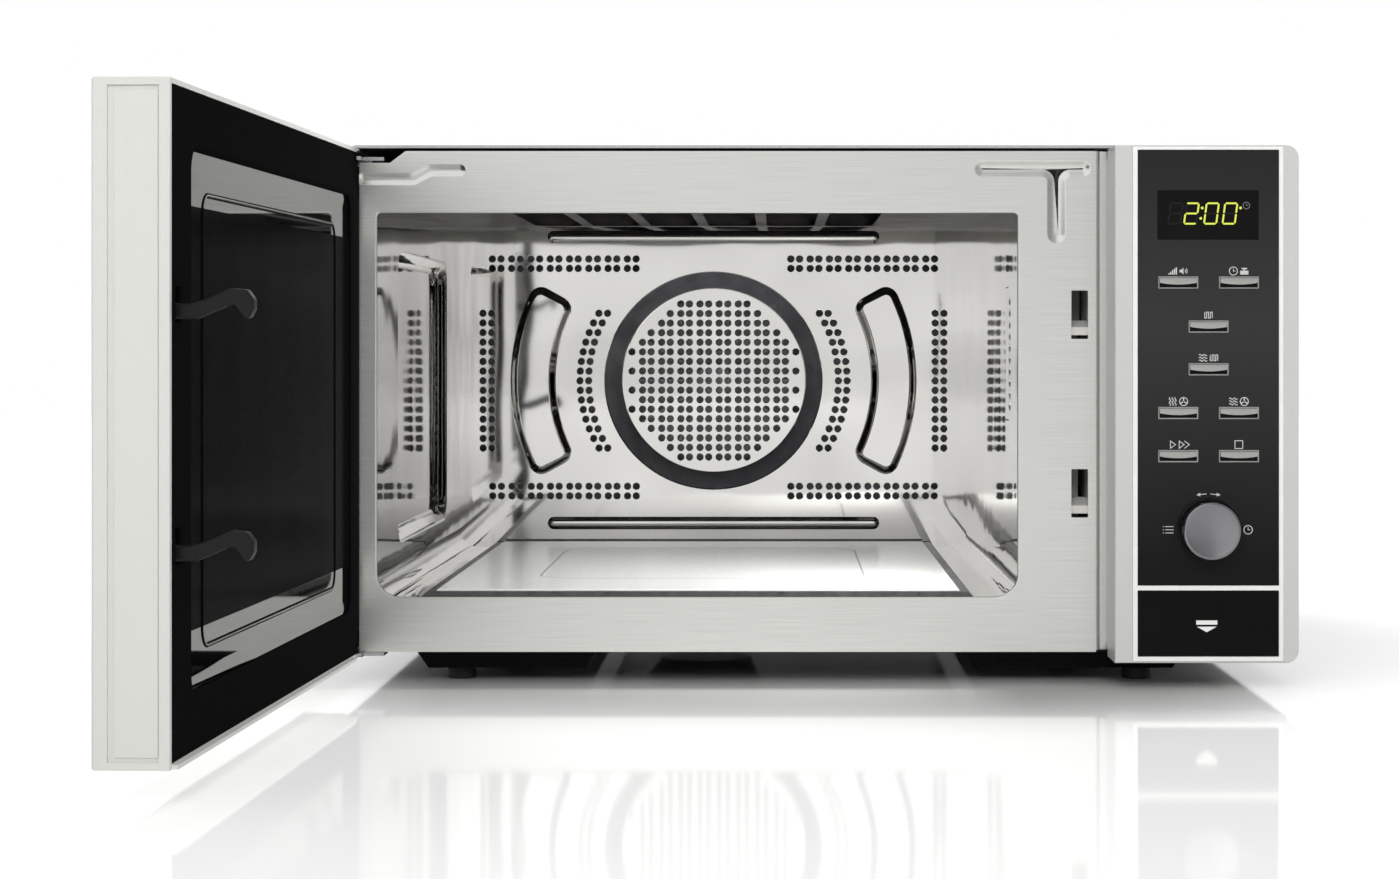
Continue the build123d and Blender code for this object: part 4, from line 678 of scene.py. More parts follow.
# The fascia's acrylic is coloured lighter in a band above its middle and deepens to black below: a painted
# reflection.
fascia_painted_reflection = finish("painted_reflection_acrylic", "#2A2929", Specular_IOR_Level=0.12, Roughness=0.12)
tree = fascia_painted_reflection.node_tree
height = add(tree, "SeparateXYZ", {"Vector": add(tree, "TexCoord").outputs["Object"]})
along = add(tree, "MapRange", {
    "Value": height.outputs["Z"], "From Min": fascia_low.z * MM, "From Max": fascia_high.z * MM})
# Charcoal band over black, by height: painted reflection.
reflection_band = add(tree, "ValToRGB", {"Fac": along}, [
    (0.05, linear("#161414")), (0.6, linear("#373636")), (1.0, linear("#282828"))])
wired(fascia_painted_reflection, Base_Color=reflection_band)
display_low, display_high = extent("display_window")
knob_low, knob_high = extent("knob")
KNOB_X = (knob_low.x + knob_high.x) / 2
KNOB_Z = (knob_low.z + knob_high.z) / 2
KEYS = ("button_row1_left", "button_row1_right", "button_row2", "button_row3", "button_row4_left",
        "button_row4_right", "button_row5_left", "button_row5_right")
KEY_FLANGE = (1.2, 1.0)
KEY_CORNER = 0.4
RIM_GAP = 0.2


def key_face(name):
    """A key's middle and the half width and half height of its face."""
    low, high = extent(name)
    middle, half = (low + high) / 2, (high - low) / 2
    return middle.x, middle.z, half.x - KEY_FLANGE[0], half.z - KEY_FLANGE[1]


def key_corners(name, gap):
    """The corners of a box round a key's face."""
    x, z, half_width, half_height = key_face(name)
    reach, rise = half_width + gap, half_height + gap
    return box_corners(x - reach, x + reach, z - rise, z + rise, KEY_CORNER)


openings = [rounded(box_corners(display_low.x, display_high.x, display_low.z, display_high.z, 0.4), -0.1)]
openings.append(round_hole(KNOB_X, KNOB_Z, STEM_OPENING))
openings += [rounded(key_corners(name, RIM_GAP)) for name in KEYS]
fascia = bmesh.new()
sheet(fascia, lambda x, z, depth: (x, PANEL_FACE + depth, z),
      rounded(box_corners(fascia_low.x, fascia_high.x, fascia_low.z, fascia_high.z, 0.3)), openings)
thickened(piece("fascia_plate", fascia, fascia_painted_reflection, "fascia"), fascia_high.y - PANEL_FACE)


def filled(bm, points, depth=PANEL_FACE):
    """An area of print inside an outline of (across, up) points."""
    bm.faces.new([bm.verts.new((x, depth, z)) for x, z in points])


def stroke(bm, points, width, closed):
    """A printed line of even width along (across, up) points."""
    points = [Vector(point) for point in points]
    pairs = []
    for index, here in enumerate(points):
        first = index == 0 and not closed
        last = index == len(points) - 1 and not closed
        ahead = (points[(index + 1) % len(points)] - here).normalized()
        behind = (here - points[index - 1]).normalized()
        ahead = behind if last else ahead
        behind = ahead if first else behind
        along = (ahead + behind).normalized()
        side = Vector((-along.y, along.x)) * width / 2 / max(along.dot(ahead), 0.5)
        pairs.append([bm.verts.new((end.x, PANEL_FACE, end.y)) for end in (here - side, here + side)])
    for (a, b), (c, d) in zip(pairs, pairs[1:] + pairs[:1] if closed else pairs[1:]):
        bm.faces.new((a, c, d, b))


def printed(name, bm, ink, node):
    """A layer of ink on a CAD node's face, facing the front."""
    bm.normal_update()
    bmesh.ops.reverse_faces(bm, faces=[face for face in bm.faces if face.normal.y > 0])
    thickened(piece(name, bm, ink, node, stands_in=False), INK_DEPTH, 1)


def drawn(bm, picture, x, z):
    """Draws a picture's lines, as (points, width, closed), about a middle. One without a width is an area."""
    for points, width, closed in picture:
        points = [(x + across, z + up) for across, up in points]
        if width:
            stroke(bm, points, width, closed)
        else:
            filled(bm, points)


def clock(radius):
    """A clock's rim and hands."""
    hands = [(0, 0.62 * radius), (0, 0), (0.5 * radius, 0)]
    return [(round_hole(0, 0, radius, RING_SIDES), INK_LINE, True), (hands, 0.8 * INK_LINE, False)]


def waves(upright):
    """Three wavy lines, level or upright."""
    lines = []
    for line in (-1.5, 0, 1.5):
        points = [(4.4 * (step / 16 - 0.5), line + 0.42 * math.sin(math.pi * step / 4)) for step in range(17)]
        lines.append(([point[::-1] for point in points] if upright else points, INK_LINE, False))
    return lines


bars, turns = [], []
for bar in range(5):
    left, top = bar - 2.4, 0.8 * bar - 1.2
    bars.append(([(left, -1.9), (left + 0.7, -1.9), (left + 0.7, top), (left, top)], 0, True))
    ends = [(bar - 2.0, 1.6), (bar - 2.0, -1.6)]
    turns += ends if bar % 2 == 0 else reversed(ends)
coil = [(turns, INK_LINE, False)]
fan = [(round_hole(0, 0, PICTURE_RADIUS, RING_SIDES), INK_LINE, True)]
for blade in range(3):
    angle = math.pi * (0.5 + 2 * blade / 3)
    fan.append(([(reach * math.cos(angle), reach * math.sin(angle)) for reach in (0.35, 1.9)], 0.62, False))
sound = [([(-2.2, -0.7), (-1.2, -0.7), (-0.1, -1.8), (-0.1, 1.8), (-1.2, 0.7), (-2.2, 0.7)], 0, True)]
for reach in (1.0, 1.9):
    arc = [(reach * math.cos(step / 5), reach * math.sin(step / 5)) for step in range(-4, 5)]
    sound.append((arc, INK_LINE, False))
pan = [(2.2, -1.9), (2.2, 0.2), (0.4, 0.2), (0.4, 1.0), (1.5, 1.0), (1.5, 1.7)]
scales = [(pan + [(-across, up) for across, up in reversed(pan)], 0, True)]
start = [([(-1.2, -2.0), (1.5, 0), (-1.2, 2.0)], INK_LINE, True)]
fast = [([(-2.4, -2.0), (0.3, 0), (-2.4, 2.0)], INK_LINE, True),
        ([(0.4, -2.0), (3.1, 0), (0.4, 2.0)], INK_LINE, False)]
stop = [([(-2.1, -2.1), (2.1, -2.1), (2.1, 2.1), (-2.1, 2.1)], INK_LINE, True)]
rows = []
for height in (-1.7, 0, 1.7):
    for left, right in ((-1.5, 2.9), (-2.8, -2.2)):
        rows.append(([(left, height), (right, height)], INK_LINE, False))
key_pictures = (
    (bars, sound), (clock(PICTURE_RADIUS), scales), (coil,), (waves(False), coil), (waves(True), fan),
    (waves(False), fan), (start, fast), (stop,))
PICTURE_PITCH = 5.9
ARROW_SHAFT = ((1.0, 19.4), (4.4, 19.0))
ARROW_HEAD = ((4.4, 20.0), (6.6, 18.8), (4.4, 18.0))
ROWS_REACH, CLOCK_REACH, KNOB_CLOCK = 21.8, 21.4, 2.3
# Screen-printing ink, baked: a flat pale grey.
pale_ink = grained("pale_screen_ink", ("#C6C6C4", "#D8D8D6"), (0.45, 0.55), 0.3, 0.002)
prints = bmesh.new()
for name, pictures in zip(KEYS, key_pictures):
    x, z, _, _ = key_face(name)
    for place, picture in enumerate(pictures):
        drawn(prints, picture, x + (place - (len(pictures) - 1) / 2) * PICTURE_PITCH, z + KEY_PICTURE_RISE)
for side in (-1, 1):
    shaft, head = [[(side * across, up) for across, up in part] for part in (ARROW_SHAFT, ARROW_HEAD)]
    drawn(prints, [(shaft, INK_LINE, False), (head, 0, True)], KNOB_X, KNOB_Z)
drawn(prints, rows, KNOB_X - ROWS_REACH, KNOB_Z)
drawn(prints, clock(KNOB_CLOCK), KNOB_X + CLOCK_REACH, KNOB_Z)
printed("fascia_pictures", prints, pale_ink, "fascia")


# Display: a smoked acrylic window with a slanted seven-segment clock behind it, lit yellow-green.
# The first figure is unlit, and a small clock picture stands at the end.
FIGURE_LOW, FIGURE_HIGH = 252.6, 264.6
FIGURE_WIDTH = 6.6
FIGURE_SLANT = 0.13
SEGMENT = 0.95
SEGMENT_GAP = 0.14
FIGURES = ((190.0, ""), (198.6, "abdeg"), (209.4, "abcdef"), (219.4, "abcdef"))
DOTS, DOT_RADIUS, DOT_SIDES = ((206.9, 256.0), (207.7, 261.6), (228.4, 261.6)), 0.75, 10
CLOCK_PLACE, CLOCK_RADIUS = (231.6, 262.9), 1.8
# Smoked acrylic: nearly black, with the sheen of a polished sheet.
smoked = grained("smoked_acrylic", ("#0E0E0E", "#121212"), (0.1, 0.14), 20.0, 0.005, Specular_IOR_Level=0.1)
softened("display_window", smoked, 0.1)
# Fluorescent segments: a yellow-green that gives its own light, and a dark ghost of it where unlit.
lit_segment = finish(
    "fluorescent_segment", "#181A06", Emission_Color=linear("#E6F05A"), Emission_Strength=1.0)
unlit_segment = grained(
    "unlit_segment", ("#1C1C1C", "#212121"), (0.3, 0.4), 1.0, 0.001, Specular_IOR_Level=0.1)
lit, unlit = bmesh.new(), bmesh.new()


def figure(left, shown):
    """One slanted figure. The lit segments are named by letters, a to g from the top round to the middle."""
    middle = (FIGURE_LOW + FIGURE_HIGH) / 2
    right = left + FIGURE_WIDTH
    low, high = FIGURE_LOW + SEGMENT / 2, FIGURE_HIGH - SEGMENT / 2
    corners = {
        "a": (left, high, right, high), "b": (right, high, right, middle), "c": (right, middle, right, low),
        "d": (left, low, right, low), "e": (left, middle, left, low), "f": (left, high, left, middle),
        "g": (left, middle, right, middle)}
    for letter, (x1, z1, x2, z2) in corners.items():
        start, end = Vector((x1, z1)), Vector((x2, z2))
        along = (end - start).normalized()
        side = Vector((-along.y, along.x)) * SEGMENT / 2
        start += along * SEGMENT_GAP
        end -= along * SEGMENT_GAP
        tip = along * SEGMENT / 2
        outline = [start, start + tip + side, end - tip + side, end, end - tip - side, start + tip - side]
        bar = [(point.x + FIGURE_SLANT * (point.y - middle), point.y) for point in outline]
        filled(lit if letter in shown else unlit, bar)


for left, shown in FIGURES:
    figure(left, shown)
for x, z in DOTS:
    filled(lit, round_hole(x, z, DOT_RADIUS, DOT_SIDES))
printed("lit_figures", lit, lit_segment, "display_window")
printed("unlit_figures", unlit, unlit_segment, "display_window")
corner_clock = bmesh.new()
drawn(corner_clock, clock(CLOCK_RADIUS), *CLOCK_PLACE)
# Screen-printing ink behind the window, dimmed by it: a mid grey.
grey_ink = grained("grey_screen_ink", ("#686867", "#767675"), (0.45, 0.55), 0.3, 0.002)
printed("display_clock", corner_clock, grey_ink, "display_window")


# Push buttons: eight keys of silver-lacquered ABS. The lower edge of each face sags in a wide arc over a
# hollow for the fingertip, coloured black as painted shade, and a flange behind the fascia keeps the key in.
# A bright rim stands round each.
KEY_COLUMNS = 24
KEY_SAG = 0.95
KEY_HOLLOW = 1.1
KEY_EDGE = 0.15
KEY_PROUD, KEY_DEPTH, FLANGE_DEPTH = 1.2, 4.8, 1
STEM_HALF_WIDTH, STEM_HALF_HEIGHT = 2, 1.5
RIM_WIDTH, RIM_PROUD, RIM_DEPTH, RIM_GAUGE = 0.6, 0.31, 0.3, 0.05


def boxed(bm, left, right, front, rear, low, high):
    """Adds a plain block to a piece."""
    corners = [bm.verts.new((x, y, z)) for x in (left, right) for y in (front, rear) for z in (low, high)]
    for side in ((0, 1, 3, 2), (4, 6, 7, 5), (0, 4, 5, 1), (2, 3, 7, 6), (0, 2, 6, 4), (1, 5, 7, 3)):
        bm.faces.new([corners[corner] for corner in side])


def key_cap(bm, x, z, half_width, half_height, front, rear):
    """A key's cap: a closed profile carried across its width. The hollow's faces take the second material,
    black: painted shade in the hollow.
    """
    loops = []
    for column in range(KEY_COLUMNS + 1):
        across = 2 * column / KEY_COLUMNS - 1
        edge = -KEY_EDGE - KEY_SAG * (1 - across ** 2)
        profile = [
            (rear, -half_height), (front + KEY_HOLLOW, -half_height), (front + KEY_HOLLOW, edge - 0.3),
            (front + 0.6, edge - 0.1), (front + 0.1, edge), (front, edge + 0.2), (front, half_height - 0.4),
            (front + 0.12, half_height - 0.12), (front + 0.4, half_height), (rear, half_height)]
        loops.append([bm.verts.new((x + across * half_width, y, z + up)) for y, up in profile])
    for left, right in zip(loops, loops[1:]):
        for step in range(len(left)):
            face = bm.faces.new((left[step - 1], left[step], right[step], right[step - 1]))
            face.smooth = True
            face.material_index = 1 if 1 <= step <= 3 else 0
    bm.faces.new(loops[0])
    bm.faces.new(reversed(loops[-1]))


# Satin aluminium lacquer on ABS: a bright silver with fine flake.
satin_silver = grained(
    "satin_silver_lacquer", ("#A8A8A4", "#C0C0BC"), (0.3, 0.38), 0.25, 0.002, Metallic=0.75)
rim_shape = bmesh.new()
cap_front, cap_rear = PANEL_FACE - KEY_PROUD, PANEL_FACE + KEY_DEPTH
for name in KEYS:
    low, high = extent(name)
    x, z, half_width, half_height = key_face(name)
    key = bmesh.new()
    key_cap(key, x, z, half_width, half_height, cap_front, cap_rear)
    boxed(key, low.x, high.x, cap_rear, cap_rear + FLANGE_DEPTH, low.z, high.z)
    boxed(key, x - STEM_HALF_WIDTH, x + STEM_HALF_WIDTH, cap_rear + FLANGE_DEPTH, high.y,
          z - STEM_HALF_HEIGHT, z + STEM_HALF_HEIGHT)
    bmesh.ops.recalc_face_normals(key, faces=key.faces)
    # The black acrylic on each key's hollow is painted shade.
    piece(name + "_key", key, (satin_silver, acrylic), name)
    outer = key_corners(name, RIM_GAP + RIM_WIDTH)
    sheet(rim_shape, lambda x, z, depth: (x, PANEL_FACE - RIM_PROUD + depth, z), rounded(outer),
          presses=[pressed(outer, [(RIM_WIDTH, 0), (RIM_WIDTH, RIM_DEPTH)], None)])
# Bright chrome plate on ABS: a mirror with a soft haze.
chrome = grained("chromed_abs", ("#A2A3A3", "#B0B1B1"), (0.16, 0.24), 6.0, 0.004, Metallic=1.0)
thickened(piece("button_rims", rim_shape, chrome, "fascia", stands_in=False), RIM_GAUGE, 1)


# Knob: turned from aluminium, with a dished face, a bright turned rim and a stem to the encoder.
# It stands in a dark plated ring that is pressed onto the fascia.
KNOB_RADIUS = (knob_high.x - knob_low.x) / 2
DISH_RADIUS = 13.4
DISH_DEPTH = 1.3
DISH_STEPS = 10
DISH_LIP = 0.35
STEM_RADIUS = 3.0
KNOB_SIDES = 72
knob_front = knob_low.y
knob_profile = [
    (STEM_RADIUS, knob_high.y), (STEM_RADIUS, PANEL_FACE - 0.4), (KNOB_RADIUS - 0.4, PANEL_FACE - 0.6),
    (KNOB_RADIUS, PANEL_FACE - 1.0), (KNOB_RADIUS, knob_front + 1.5), (KNOB_RADIUS - 0.25, knob_front + 0.6),
    (KNOB_RADIUS - 0.8, knob_front + 0.12), (KNOB_RADIUS - 1.3, knob_front),
    (DISH_RADIUS + 0.3, knob_front + 0.1), (DISH_RADIUS, knob_front + DISH_LIP)]
for step in range(1, DISH_STEPS):
    radius = DISH_RADIUS * (1 - step / DISH_STEPS)
    knob_profile.append((radius, knob_front + DISH_LIP + DISH_DEPTH * (1 - (radius / DISH_RADIUS) ** 2)))
# Turned aluminium: fine rings about the axis, 0.2 mm apart in truth and drawn 0.5 mm apart to show.
TURNING_PITCH = 0.5
turned_metal = finish("turned_aluminium", "#8E8E91", Metallic=1.0)
tree = turned_metal.node_tree
centred = add(tree, "Mapping", {
    "Vector": add(tree, "TexCoord").outputs["Object"], "Location": (-KNOB_X * MM, 0, -KNOB_Z * MM)})
rings = add(tree, "TexWave", {
    "Vector": centred, "Scale": math.pi / (10 * TURNING_PITCH * MM), "Distortion": 1.5},
    wave_type="RINGS", rings_direction="Y")
shine = add(tree, "MapRange", {"Value": rings.outputs["Fac"], "To Min": 0.22, "To Max": 0.32})
relief = add(tree, "Bump", {"Height": rings.outputs["Fac"], "Distance": 0.003 * MM})
wired(turned_metal, Roughness=shine, Normal=relief)
knob = bmesh.new()
turned(knob, knob_profile, (KNOB_X, 0, KNOB_Z), "Y", KNOB_SIDES)
piece("turned_knob", knob, turned_metal, "knob")
ring_low, ring_high = extent("knob_ring")
ring_radius = (ring_high.x - ring_low.x) / 2
ring_profile = [(ring_radius, ring_high.y), (ring_radius, ring_low.y + 0.5), (ring_radius - 0.3, ring_low.y),
                (ring_radius - 0.8, ring_low.y + 0.2), (ring_radius - 0.9, ring_high.y)]
ring = bmesh.new()
turned(ring, ring_profile, (KNOB_X, 0, KNOB_Z), "Y", KNOB_SIDES, ring_shaped=True)
# Black nickel plate: a dark metal with bright highlights.
black_nickel = grained("black_nickel", ("#434346", "#525255"), (0.18, 0.26), 3.0, 0.003, Metallic=1.0)
piece("knob_surround", ring, black_nickel, "knob_ring")


# Open key: a wide gloss black acrylic key under the fascia, which lifts the door hooks by the release slide.
# A bar over a triangle is printed on it, and its upper edge is bevelled.
BAR_HALF, BAR_LOW, BAR_HIGH = 5.7, 36.4, 38.7
MARK_MIDDLE = KNOB_X - 0.9
open_front = extent("open_button")[0].y
softened("open_button", acrylic, 0.35)
mark = bmesh.new()
mark_outlines = [
    [(-BAR_HALF, BAR_LOW), (BAR_HALF, BAR_LOW), (BAR_HALF, BAR_HIGH), (-BAR_HALF, BAR_HIGH)],
    [(-BAR_HALF + 0.4, BAR_LOW - 1.1), (BAR_HALF - 0.4, BAR_LOW - 1.1), (0, BAR_LOW - 4.1)]]
for outline in mark_outlines:
    filled(mark, [(MARK_MIDDLE + across, up) for across, up in outline], open_front)
# Screen-printing ink, two coats: a flat, clean white.
white_ink = grained("white_screen_ink", ("#EEEEEC", "#F6F6F4"), (0.4, 0.5), 0.3, 0.002)
printed("open_mark", mark, white_ink, "open_button")


# Hinge brackets: two plates pressed from steel and zinc plated, screwed behind the front frame.
# Each carries a pin on which the door turns.
LEG_LOW, LEG_FRONT, LEG_REAR = 150 * MM, 0.7 * MM, 2.9 * MM
brackets = softened("hinge_brackets", plated, 0.3)
# The upper bracket's leg is joggled back to clear the stepped groove.
for vertex in brackets.data.vertices:
    if vertex.co.z > LEG_LOW and LEG_FRONT < vertex.co.y < LEG_REAR:
        vertex.co.y += groove_steps[-1][1] * MM


# Door frame: one lacquered moulding with a deep rim, which carries the other pieces of the door.
# Its free edge has a sunk panel with a fine groove round it.
# Pearl-lacquered ABS: an off-white with a soft sheen and fine flake.
pearl_abs = grained("pearl_lacquered_abs", ("#CDCEC9", "#D7D8D3"), (0.34, 0.44), 0.3, 0.002)
softened("door_frame", pearl_abs, 0.45)


# Door glass: a pane of toughened glass, coated black on its back.
# It is glued into the front of the door frame.
# Toughened glass: black, flat and bright, with the faint roller waves of tempering about 60 mm apart.
pane = grained("black_backed_glass", ("#070709", "#0B0B0D"), (0.03, 0.05), 60.0, 0.05, detail=1, IOR=1.52)
softened("door_glass", pane, 0.5)


# Door panel: a steel sheet, pressed with the choke channel that keeps the microwaves in.
# It is enamelled black, and closes the door frame on the oven's side.
softened("door_panel", enamel, 0.2)


# Choke cover: a satin black moulding with a rounded opening for the window.
# It is clipped over the choke channel, to keep dirt out of it.
# Polypropylene, moulded against a fine spark-eroded tool: nearly black and dull.
satin_black = grained(
    "satin_black_polypropylene", ("#0F0F10", "#161617"), (0.36, 0.46), 0.7, 0.01, Specular_IOR_Level=0.0)
softened("choke_cover", satin_black, 0.6)


# Inner window: a smoked film over the perforated screen, drawn down at its edges, with a raised bead round
# the part that one looks through. It is made closed and then turned to the angle at which the door stands.
HINGE_X, HINGE_Y = -255.0, -4.5
DOOR_ANGLE = -92.0
WINDOW_FACE = -5.0
WINDOW = (-243.0, 121.0, 42.0, 269.0)
WINDOW_MARGIN = 2.9
WINDOW_CORNER = 10.0
BEAD_LINE = (-206.0, 91.0, 57.0, 253.0)
FILM = 0.5
# Between these heights the film is black without sheen: painted shade.
SHADE_BAND_HEIGHTS = (67.0, 246.0)
FLANK = 0.98
curl = [(0, 0), (1.2, 0.03), (2.4, 0.14), (3.6, 0.3), (4.8, 0.46), (6.0, 0.57), (7.2, 0.6)]
bead_ridge = [(0, 0), (0.4, -0.35), (0.8, -0.55), (1.2, -0.6), (1.6, -0.55), (2.0, -0.35), (2.4, 0)]
curl_depth = curl[-1][1]


def on_window(x, z, depth):
    """A point of the closed door's window, some depth behind its face."""
    return x, WINDOW_FACE - depth, z


def painted_shade_split(bm):
    """Cuts the film at two heights. The band between them and the flanks of the bead take the second
    material,
    black and without sheen: painted shade where the window shows no reflection."""
    for height in SHADE_BAND_HEIGHTS:
        bmesh.ops.bisect_plane(bm, geom=bm.verts[:] + bm.edges[:] + bm.faces[:],
                               plane_co=(0, 0, height), plane_no=(0, 0, 1))
    bm.normal_update()
    for face in bm.faces:
        between = SHADE_BAND_HEIGHTS[0] < face.calc_center_median().z < SHADE_BAND_HEIGHTS[1]
        face.material_index = int(between or abs(face.normal.y) < FLANK)


def hung(bm):
    """Faces a piece of the window to the oven, splits off its painted shade, and turns it about the hinge
    from closed to open.
    """
    bmesh.ops.reverse_faces(bm, faces=bm.faces)
    painted_shade_split(bm)
    turn = Matrix.Rotation(math.radians(DOOR_ANGLE), 3, "Z")
    bmesh.ops.rotate(bm, cent=(HINGE_X, HINGE_Y, 0), matrix=turn, verts=bm.verts)


window_corners = box_corners(*WINDOW, WINDOW_CORNER)
bead_corners = box_corners(*BEAD_LINE, WINDOW_CORNER)
film = bmesh.new()
sheet(film, on_window, rounded(window_corners, -WINDOW_MARGIN), presses=[pressed(window_corners, curl, None)])
sheet(film, lambda x, z, depth: on_window(x, z, depth + curl_depth), rounded(window_corners, curl[-1][0]),
      presses=[pressed(bead_corners, bead_ridge, None)])
hung(film)
# Smoked polyester film on clear sheet: black, with the strong mirror of two bright surfaces, faintly wavy.
smoked_film = grained(
    "smoked_window_film", ("#030304", "#060607"), (0.04, 0.06), 90.0, 0.08,
    detail=1, IOR=1.6, Coat_Weight=1.0, Coat_Roughness=0.03)
# Perforated steel seen through the film: holes 2.2 mm apart, black and without sheen, laid on the film's
# middle band and the bead's flanks as painted shade.
PERFORATION = 2.2
screen_painted_shade = finish("painted_shade_screen", "#0A0A0B", Specular_IOR_Level=0.002, Roughness=0.2)
tree = screen_painted_shade.node_tree
cells = add(tree, "TexVoronoi", {
    "Vector": add(tree, "TexCoord").outputs["Object"], "Scale": 1 / (PERFORATION * MM), "Randomness": 0.0})
wired(screen_painted_shade, Base_Color=add(tree, "ValToRGB", {"Fac": cells}, [
    (0.25, linear("#020202")), (0.4, linear("#0C0C0D"))]))
thickened(piece("window_film", film, (smoked_film, screen_painted_shade), "inner_window"), FILM)
sight = bmesh.new()
flat(sight, on_window, rounded(bead_corners, bead_ridge[-1][0]), [], curl_depth)
hung(sight)
thickened(piece("sight_screen", sight, (smoked_film, screen_painted_shade), "inner_window", stands_in=False), FILM)


# Latch key: one nylon moulding, a bar with two rounded hooks.
# It slides up in the door when the open key is pressed.
# Glass-filled nylon, moulded: a dark grey with a soft sheen.
hook_nylon = grained(
    "dark_grey_nylon", ("#131315", "#1A1A1C"), (0.32, 0.42), 0.5, 0.01, Specular_IOR_Level=0.2)
softened("latch_key", hook_nylon, 0.9, sharp=20)


# Studio: a glossy white floor that mirrors the oven, and a white surround. A dark card to the right of the
# camera keeps the black fascia black. Soft lamps light the oven from above, the front and the front right.
FLOOR_SIZE = 12.0
FADE_MIDDLE = (0.0, 0.22, 0.0)
FADE_REACH = (0.32, 0.27, 1.0)
FADE_START, FADE_END = 1.0, 1.7
FLOOR_LIFT = 0.3
floor_mesh = bpy.data.meshes.new("floor")
corner = FLOOR_SIZE / 2
floor_mesh.from_pydata(
    [(-corner, -corner, 0), (corner, -corner, 0), (corner, corner, 0), (-corner, corner, 0)],
    [], [(0, 1, 2, 3)])
floor = placed("floor", floor_mesh)
# White acrylic sheet: bright and glossy. Away from the oven it is lifted, and so runs into the surround.
floor_white = finish(
    "white_acrylic_sheet", "#FAFAF9", IOR=1.49, Roughness=0.06, Emission_Color=linear("#FFFFFF"))
tree = floor_white.node_tree
under = add(tree, "Mapping", {
    "Vector": add(tree, "TexCoord").outputs["Object"], "Location": FADE_MIDDLE, "Scale": FADE_REACH},
    vector_type="TEXTURE")
distance = add(tree, "VectorMath", {0: under}, operation="LENGTH")
away = add(tree, "MapRange", {
    "Value": distance.outputs["Value"], "From Min": FADE_START, "From Max": FADE_END, "To Max": FLOOR_LIFT},
    interpolation_type="SMOOTHSTEP")
lift = add(tree, "Math", {0: away, 1: add(tree, "LightPath").outputs["Is Camera Ray"]}, operation="MULTIPLY")
wired(floor_white, Emission_Strength=lift)
floor_mesh.materials.append(floor_white)

# The card's edges are slopes, sideways and upward per unit of distance from the oven towards the camera.
CARD_START, CARD_FULL = 0.10, 0.125
CARD_LOW, CARD_HIGH = -0.1, 0.1
CARD_FADE = 0.2
NEAR_ZERO = 0.001
CARD_TONES = ((0.0, 0.0), (0.07, 0.1), (0.53, 0.85), (0.85, 0.45))
FILL = 0.58
world = bpy.data.worlds.new("white_surround")
bpy.context.scene.world = world
world.use_nodes = True
tree = world.node_tree
tree.nodes.clear()
paths = add(tree, "LightPath")
way = add(tree, "SeparateXYZ", {"Vector": add(tree, "TexCoord").outputs["Generated"]})
forward = add(tree, "Math", {0: way.outputs["Y"], 1: -1.0}, operation="MULTIPLY")
reach = add(tree, "Math", {0: forward, 1: NEAR_ZERO}, operation="MAXIMUM")
across = add(tree, "Math", {0: way.outputs["X"], 1: reach}, operation="DIVIDE")
upward = add(tree, "Math", {0: way.outputs["Z"], 1: reach}, operation="DIVIDE")
carded = add(tree, "MapRange", {"Value": across, "From Min": CARD_START, "From Max": CARD_FULL})
ahead = add(tree, "MapRange", {"Value": forward, "From Min": 0.0, "From Max": CARD_FADE})
card = add(tree, "Math", {0: carded, 1: ahead}, operation="MULTIPLY")
rise = add(tree, "MapRange", {"Value": upward, "From Min": CARD_LOW, "From Max": CARD_HIGH})
card_tone = add(tree, "ValToRGB", {"Fac": rise}, [
    (place, (level, level, level, 1.0)) for place, level in CARD_TONES])
mirrored = add(tree, "MapRange", {"Value": card, "To Min": 1.0, "To Max": card_tone})
glossy = add(tree, "MapRange", {"Value": paths.outputs["Is Glossy Ray"], "To Min": FILL, "To Max": mirrored})
seen = add(tree, "Math", {0: paths.outputs["Is Camera Ray"], 1: paths.outputs["Is Transmission Ray"]},
           operation="MAXIMUM")
strength = add(tree, "MapRange", {"Value": seen, "To Min": glossy, "To Max": 1.0})
surround = add(tree, "Background", {"Color": linear("#FFFFFF"), "Strength": strength})
add(tree, "OutputWorld", {"Surface": surround})


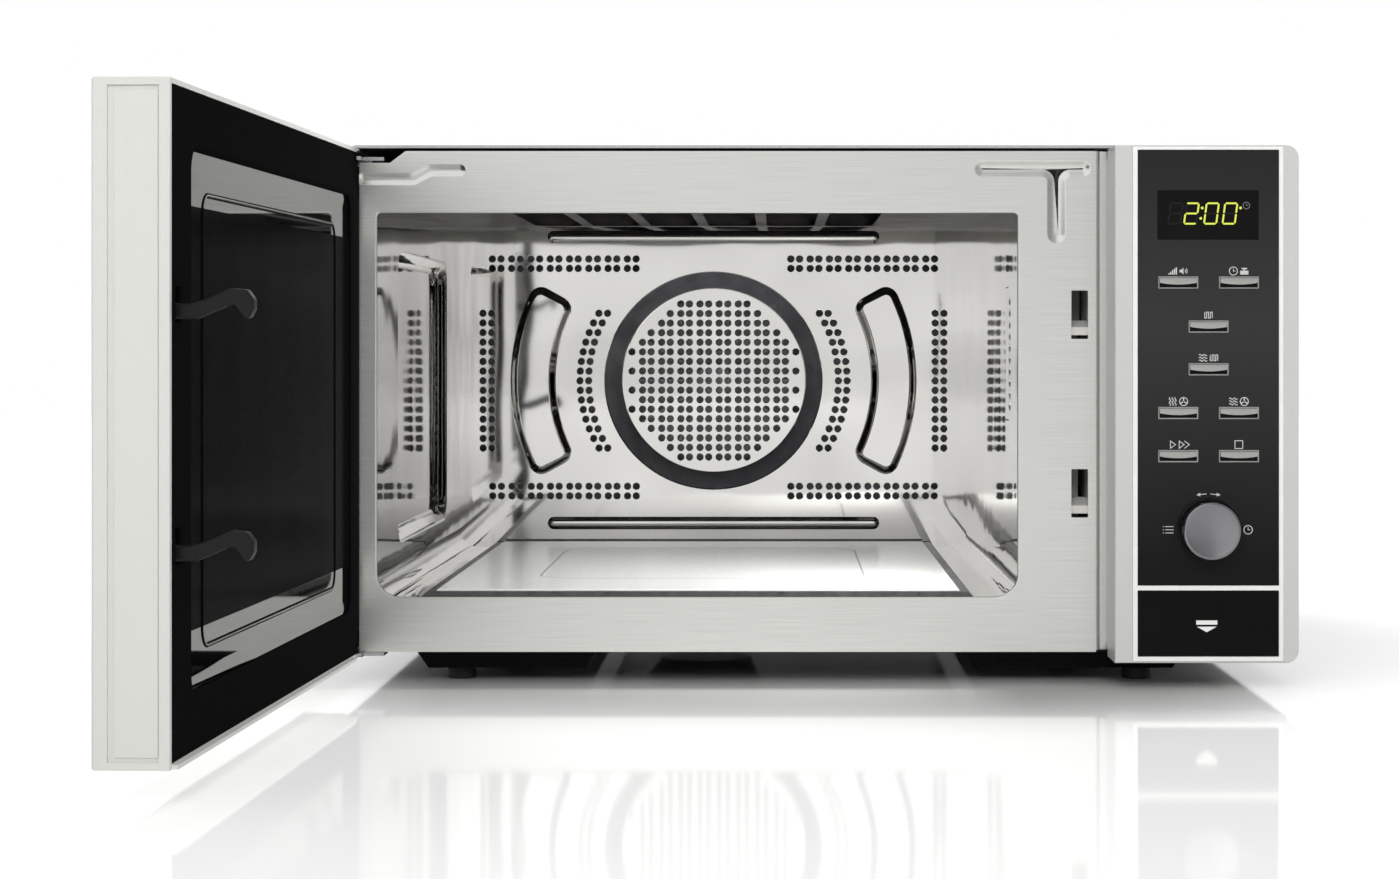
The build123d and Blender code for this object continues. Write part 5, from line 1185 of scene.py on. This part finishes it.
def lamp(name, watts, width, height, place):
    """A large soft lamp, which no mirror shows."""
    data = bpy.data.lights.new(name, "AREA")
    data.energy = watts
    data.shape = "RECTANGLE"
    data.size = width
    data.size_y = height
    made = placed(name, data)
    made.visible_glossy = False
    made.location = place
    return made


LAMPS = (
    ("overhead_lamp", 8, 1.2, (0.2, 0.6, 2.2), (0, 0.2, 0.1)),
    ("front_lamp", 26, 1.2, (-0.2, -2.4, 1.4), (0, 0.2, 0.12)),
    ("right_lamp", 8, 1.6, (1.5, -2.4, 1.4), (-0.05, 0.1, 0.1)),
)
for name, watts, size, place, aim in LAMPS:
    light = lamp(name, watts, size, size, place)
    light.rotation_euler = (Vector(aim) - Vector(place)).to_track_quat("-Z", "Y").to_euler()
# The oven's own lamp is on while the door stands open: it shines through the screen in the right-hand wall.
OVEN_WATTS = 1.0
oven_light = lamp(
    "oven_lamp", OVEN_WATTS, (LAMP_HIGH - LAMP_LOW) * MM, (LAMP_REAR - LAMP_FRONT) * MM,
    ((CAVITY_RIGHT - 1) * MM, (LAMP_FRONT + LAMP_REAR) / 2 * MM, (LAMP_LOW + LAMP_HIGH) / 2 * MM))
oven_light.rotation_euler = (0, math.pi / 2, 0)


# Camera: level and square to the front, with its picture shifted as a view camera's is.
# The eye point is the pixel straight ahead of it, where all lines that run straight back meet.
IMAGE_WIDTH, IMAGE_HEIGHT = 1399, 879
FOCAL_PIXELS = 2800
EYE_POINT = (776, 346)
SENSOR = 36.0
CAMERA_PLACE = (-0.0226, -1.547, 0.187)
camera_data = bpy.data.cameras.new("view_camera")
camera_data.sensor_width = SENSOR
camera_data.lens = FOCAL_PIXELS / IMAGE_WIDTH * SENSOR
camera_data.shift_x = (IMAGE_WIDTH / 2 - EYE_POINT[0]) / IMAGE_WIDTH
camera_data.shift_y = (EYE_POINT[1] - IMAGE_HEIGHT / 2) / IMAGE_WIDTH
camera = placed("view_camera", camera_data)
camera.location = CAMERA_PLACE
camera.rotation_euler = (math.pi / 2, 0, 0)
bpy.context.scene.camera = camera
bpy.context.scene.view_settings.view_transform = "Standard"
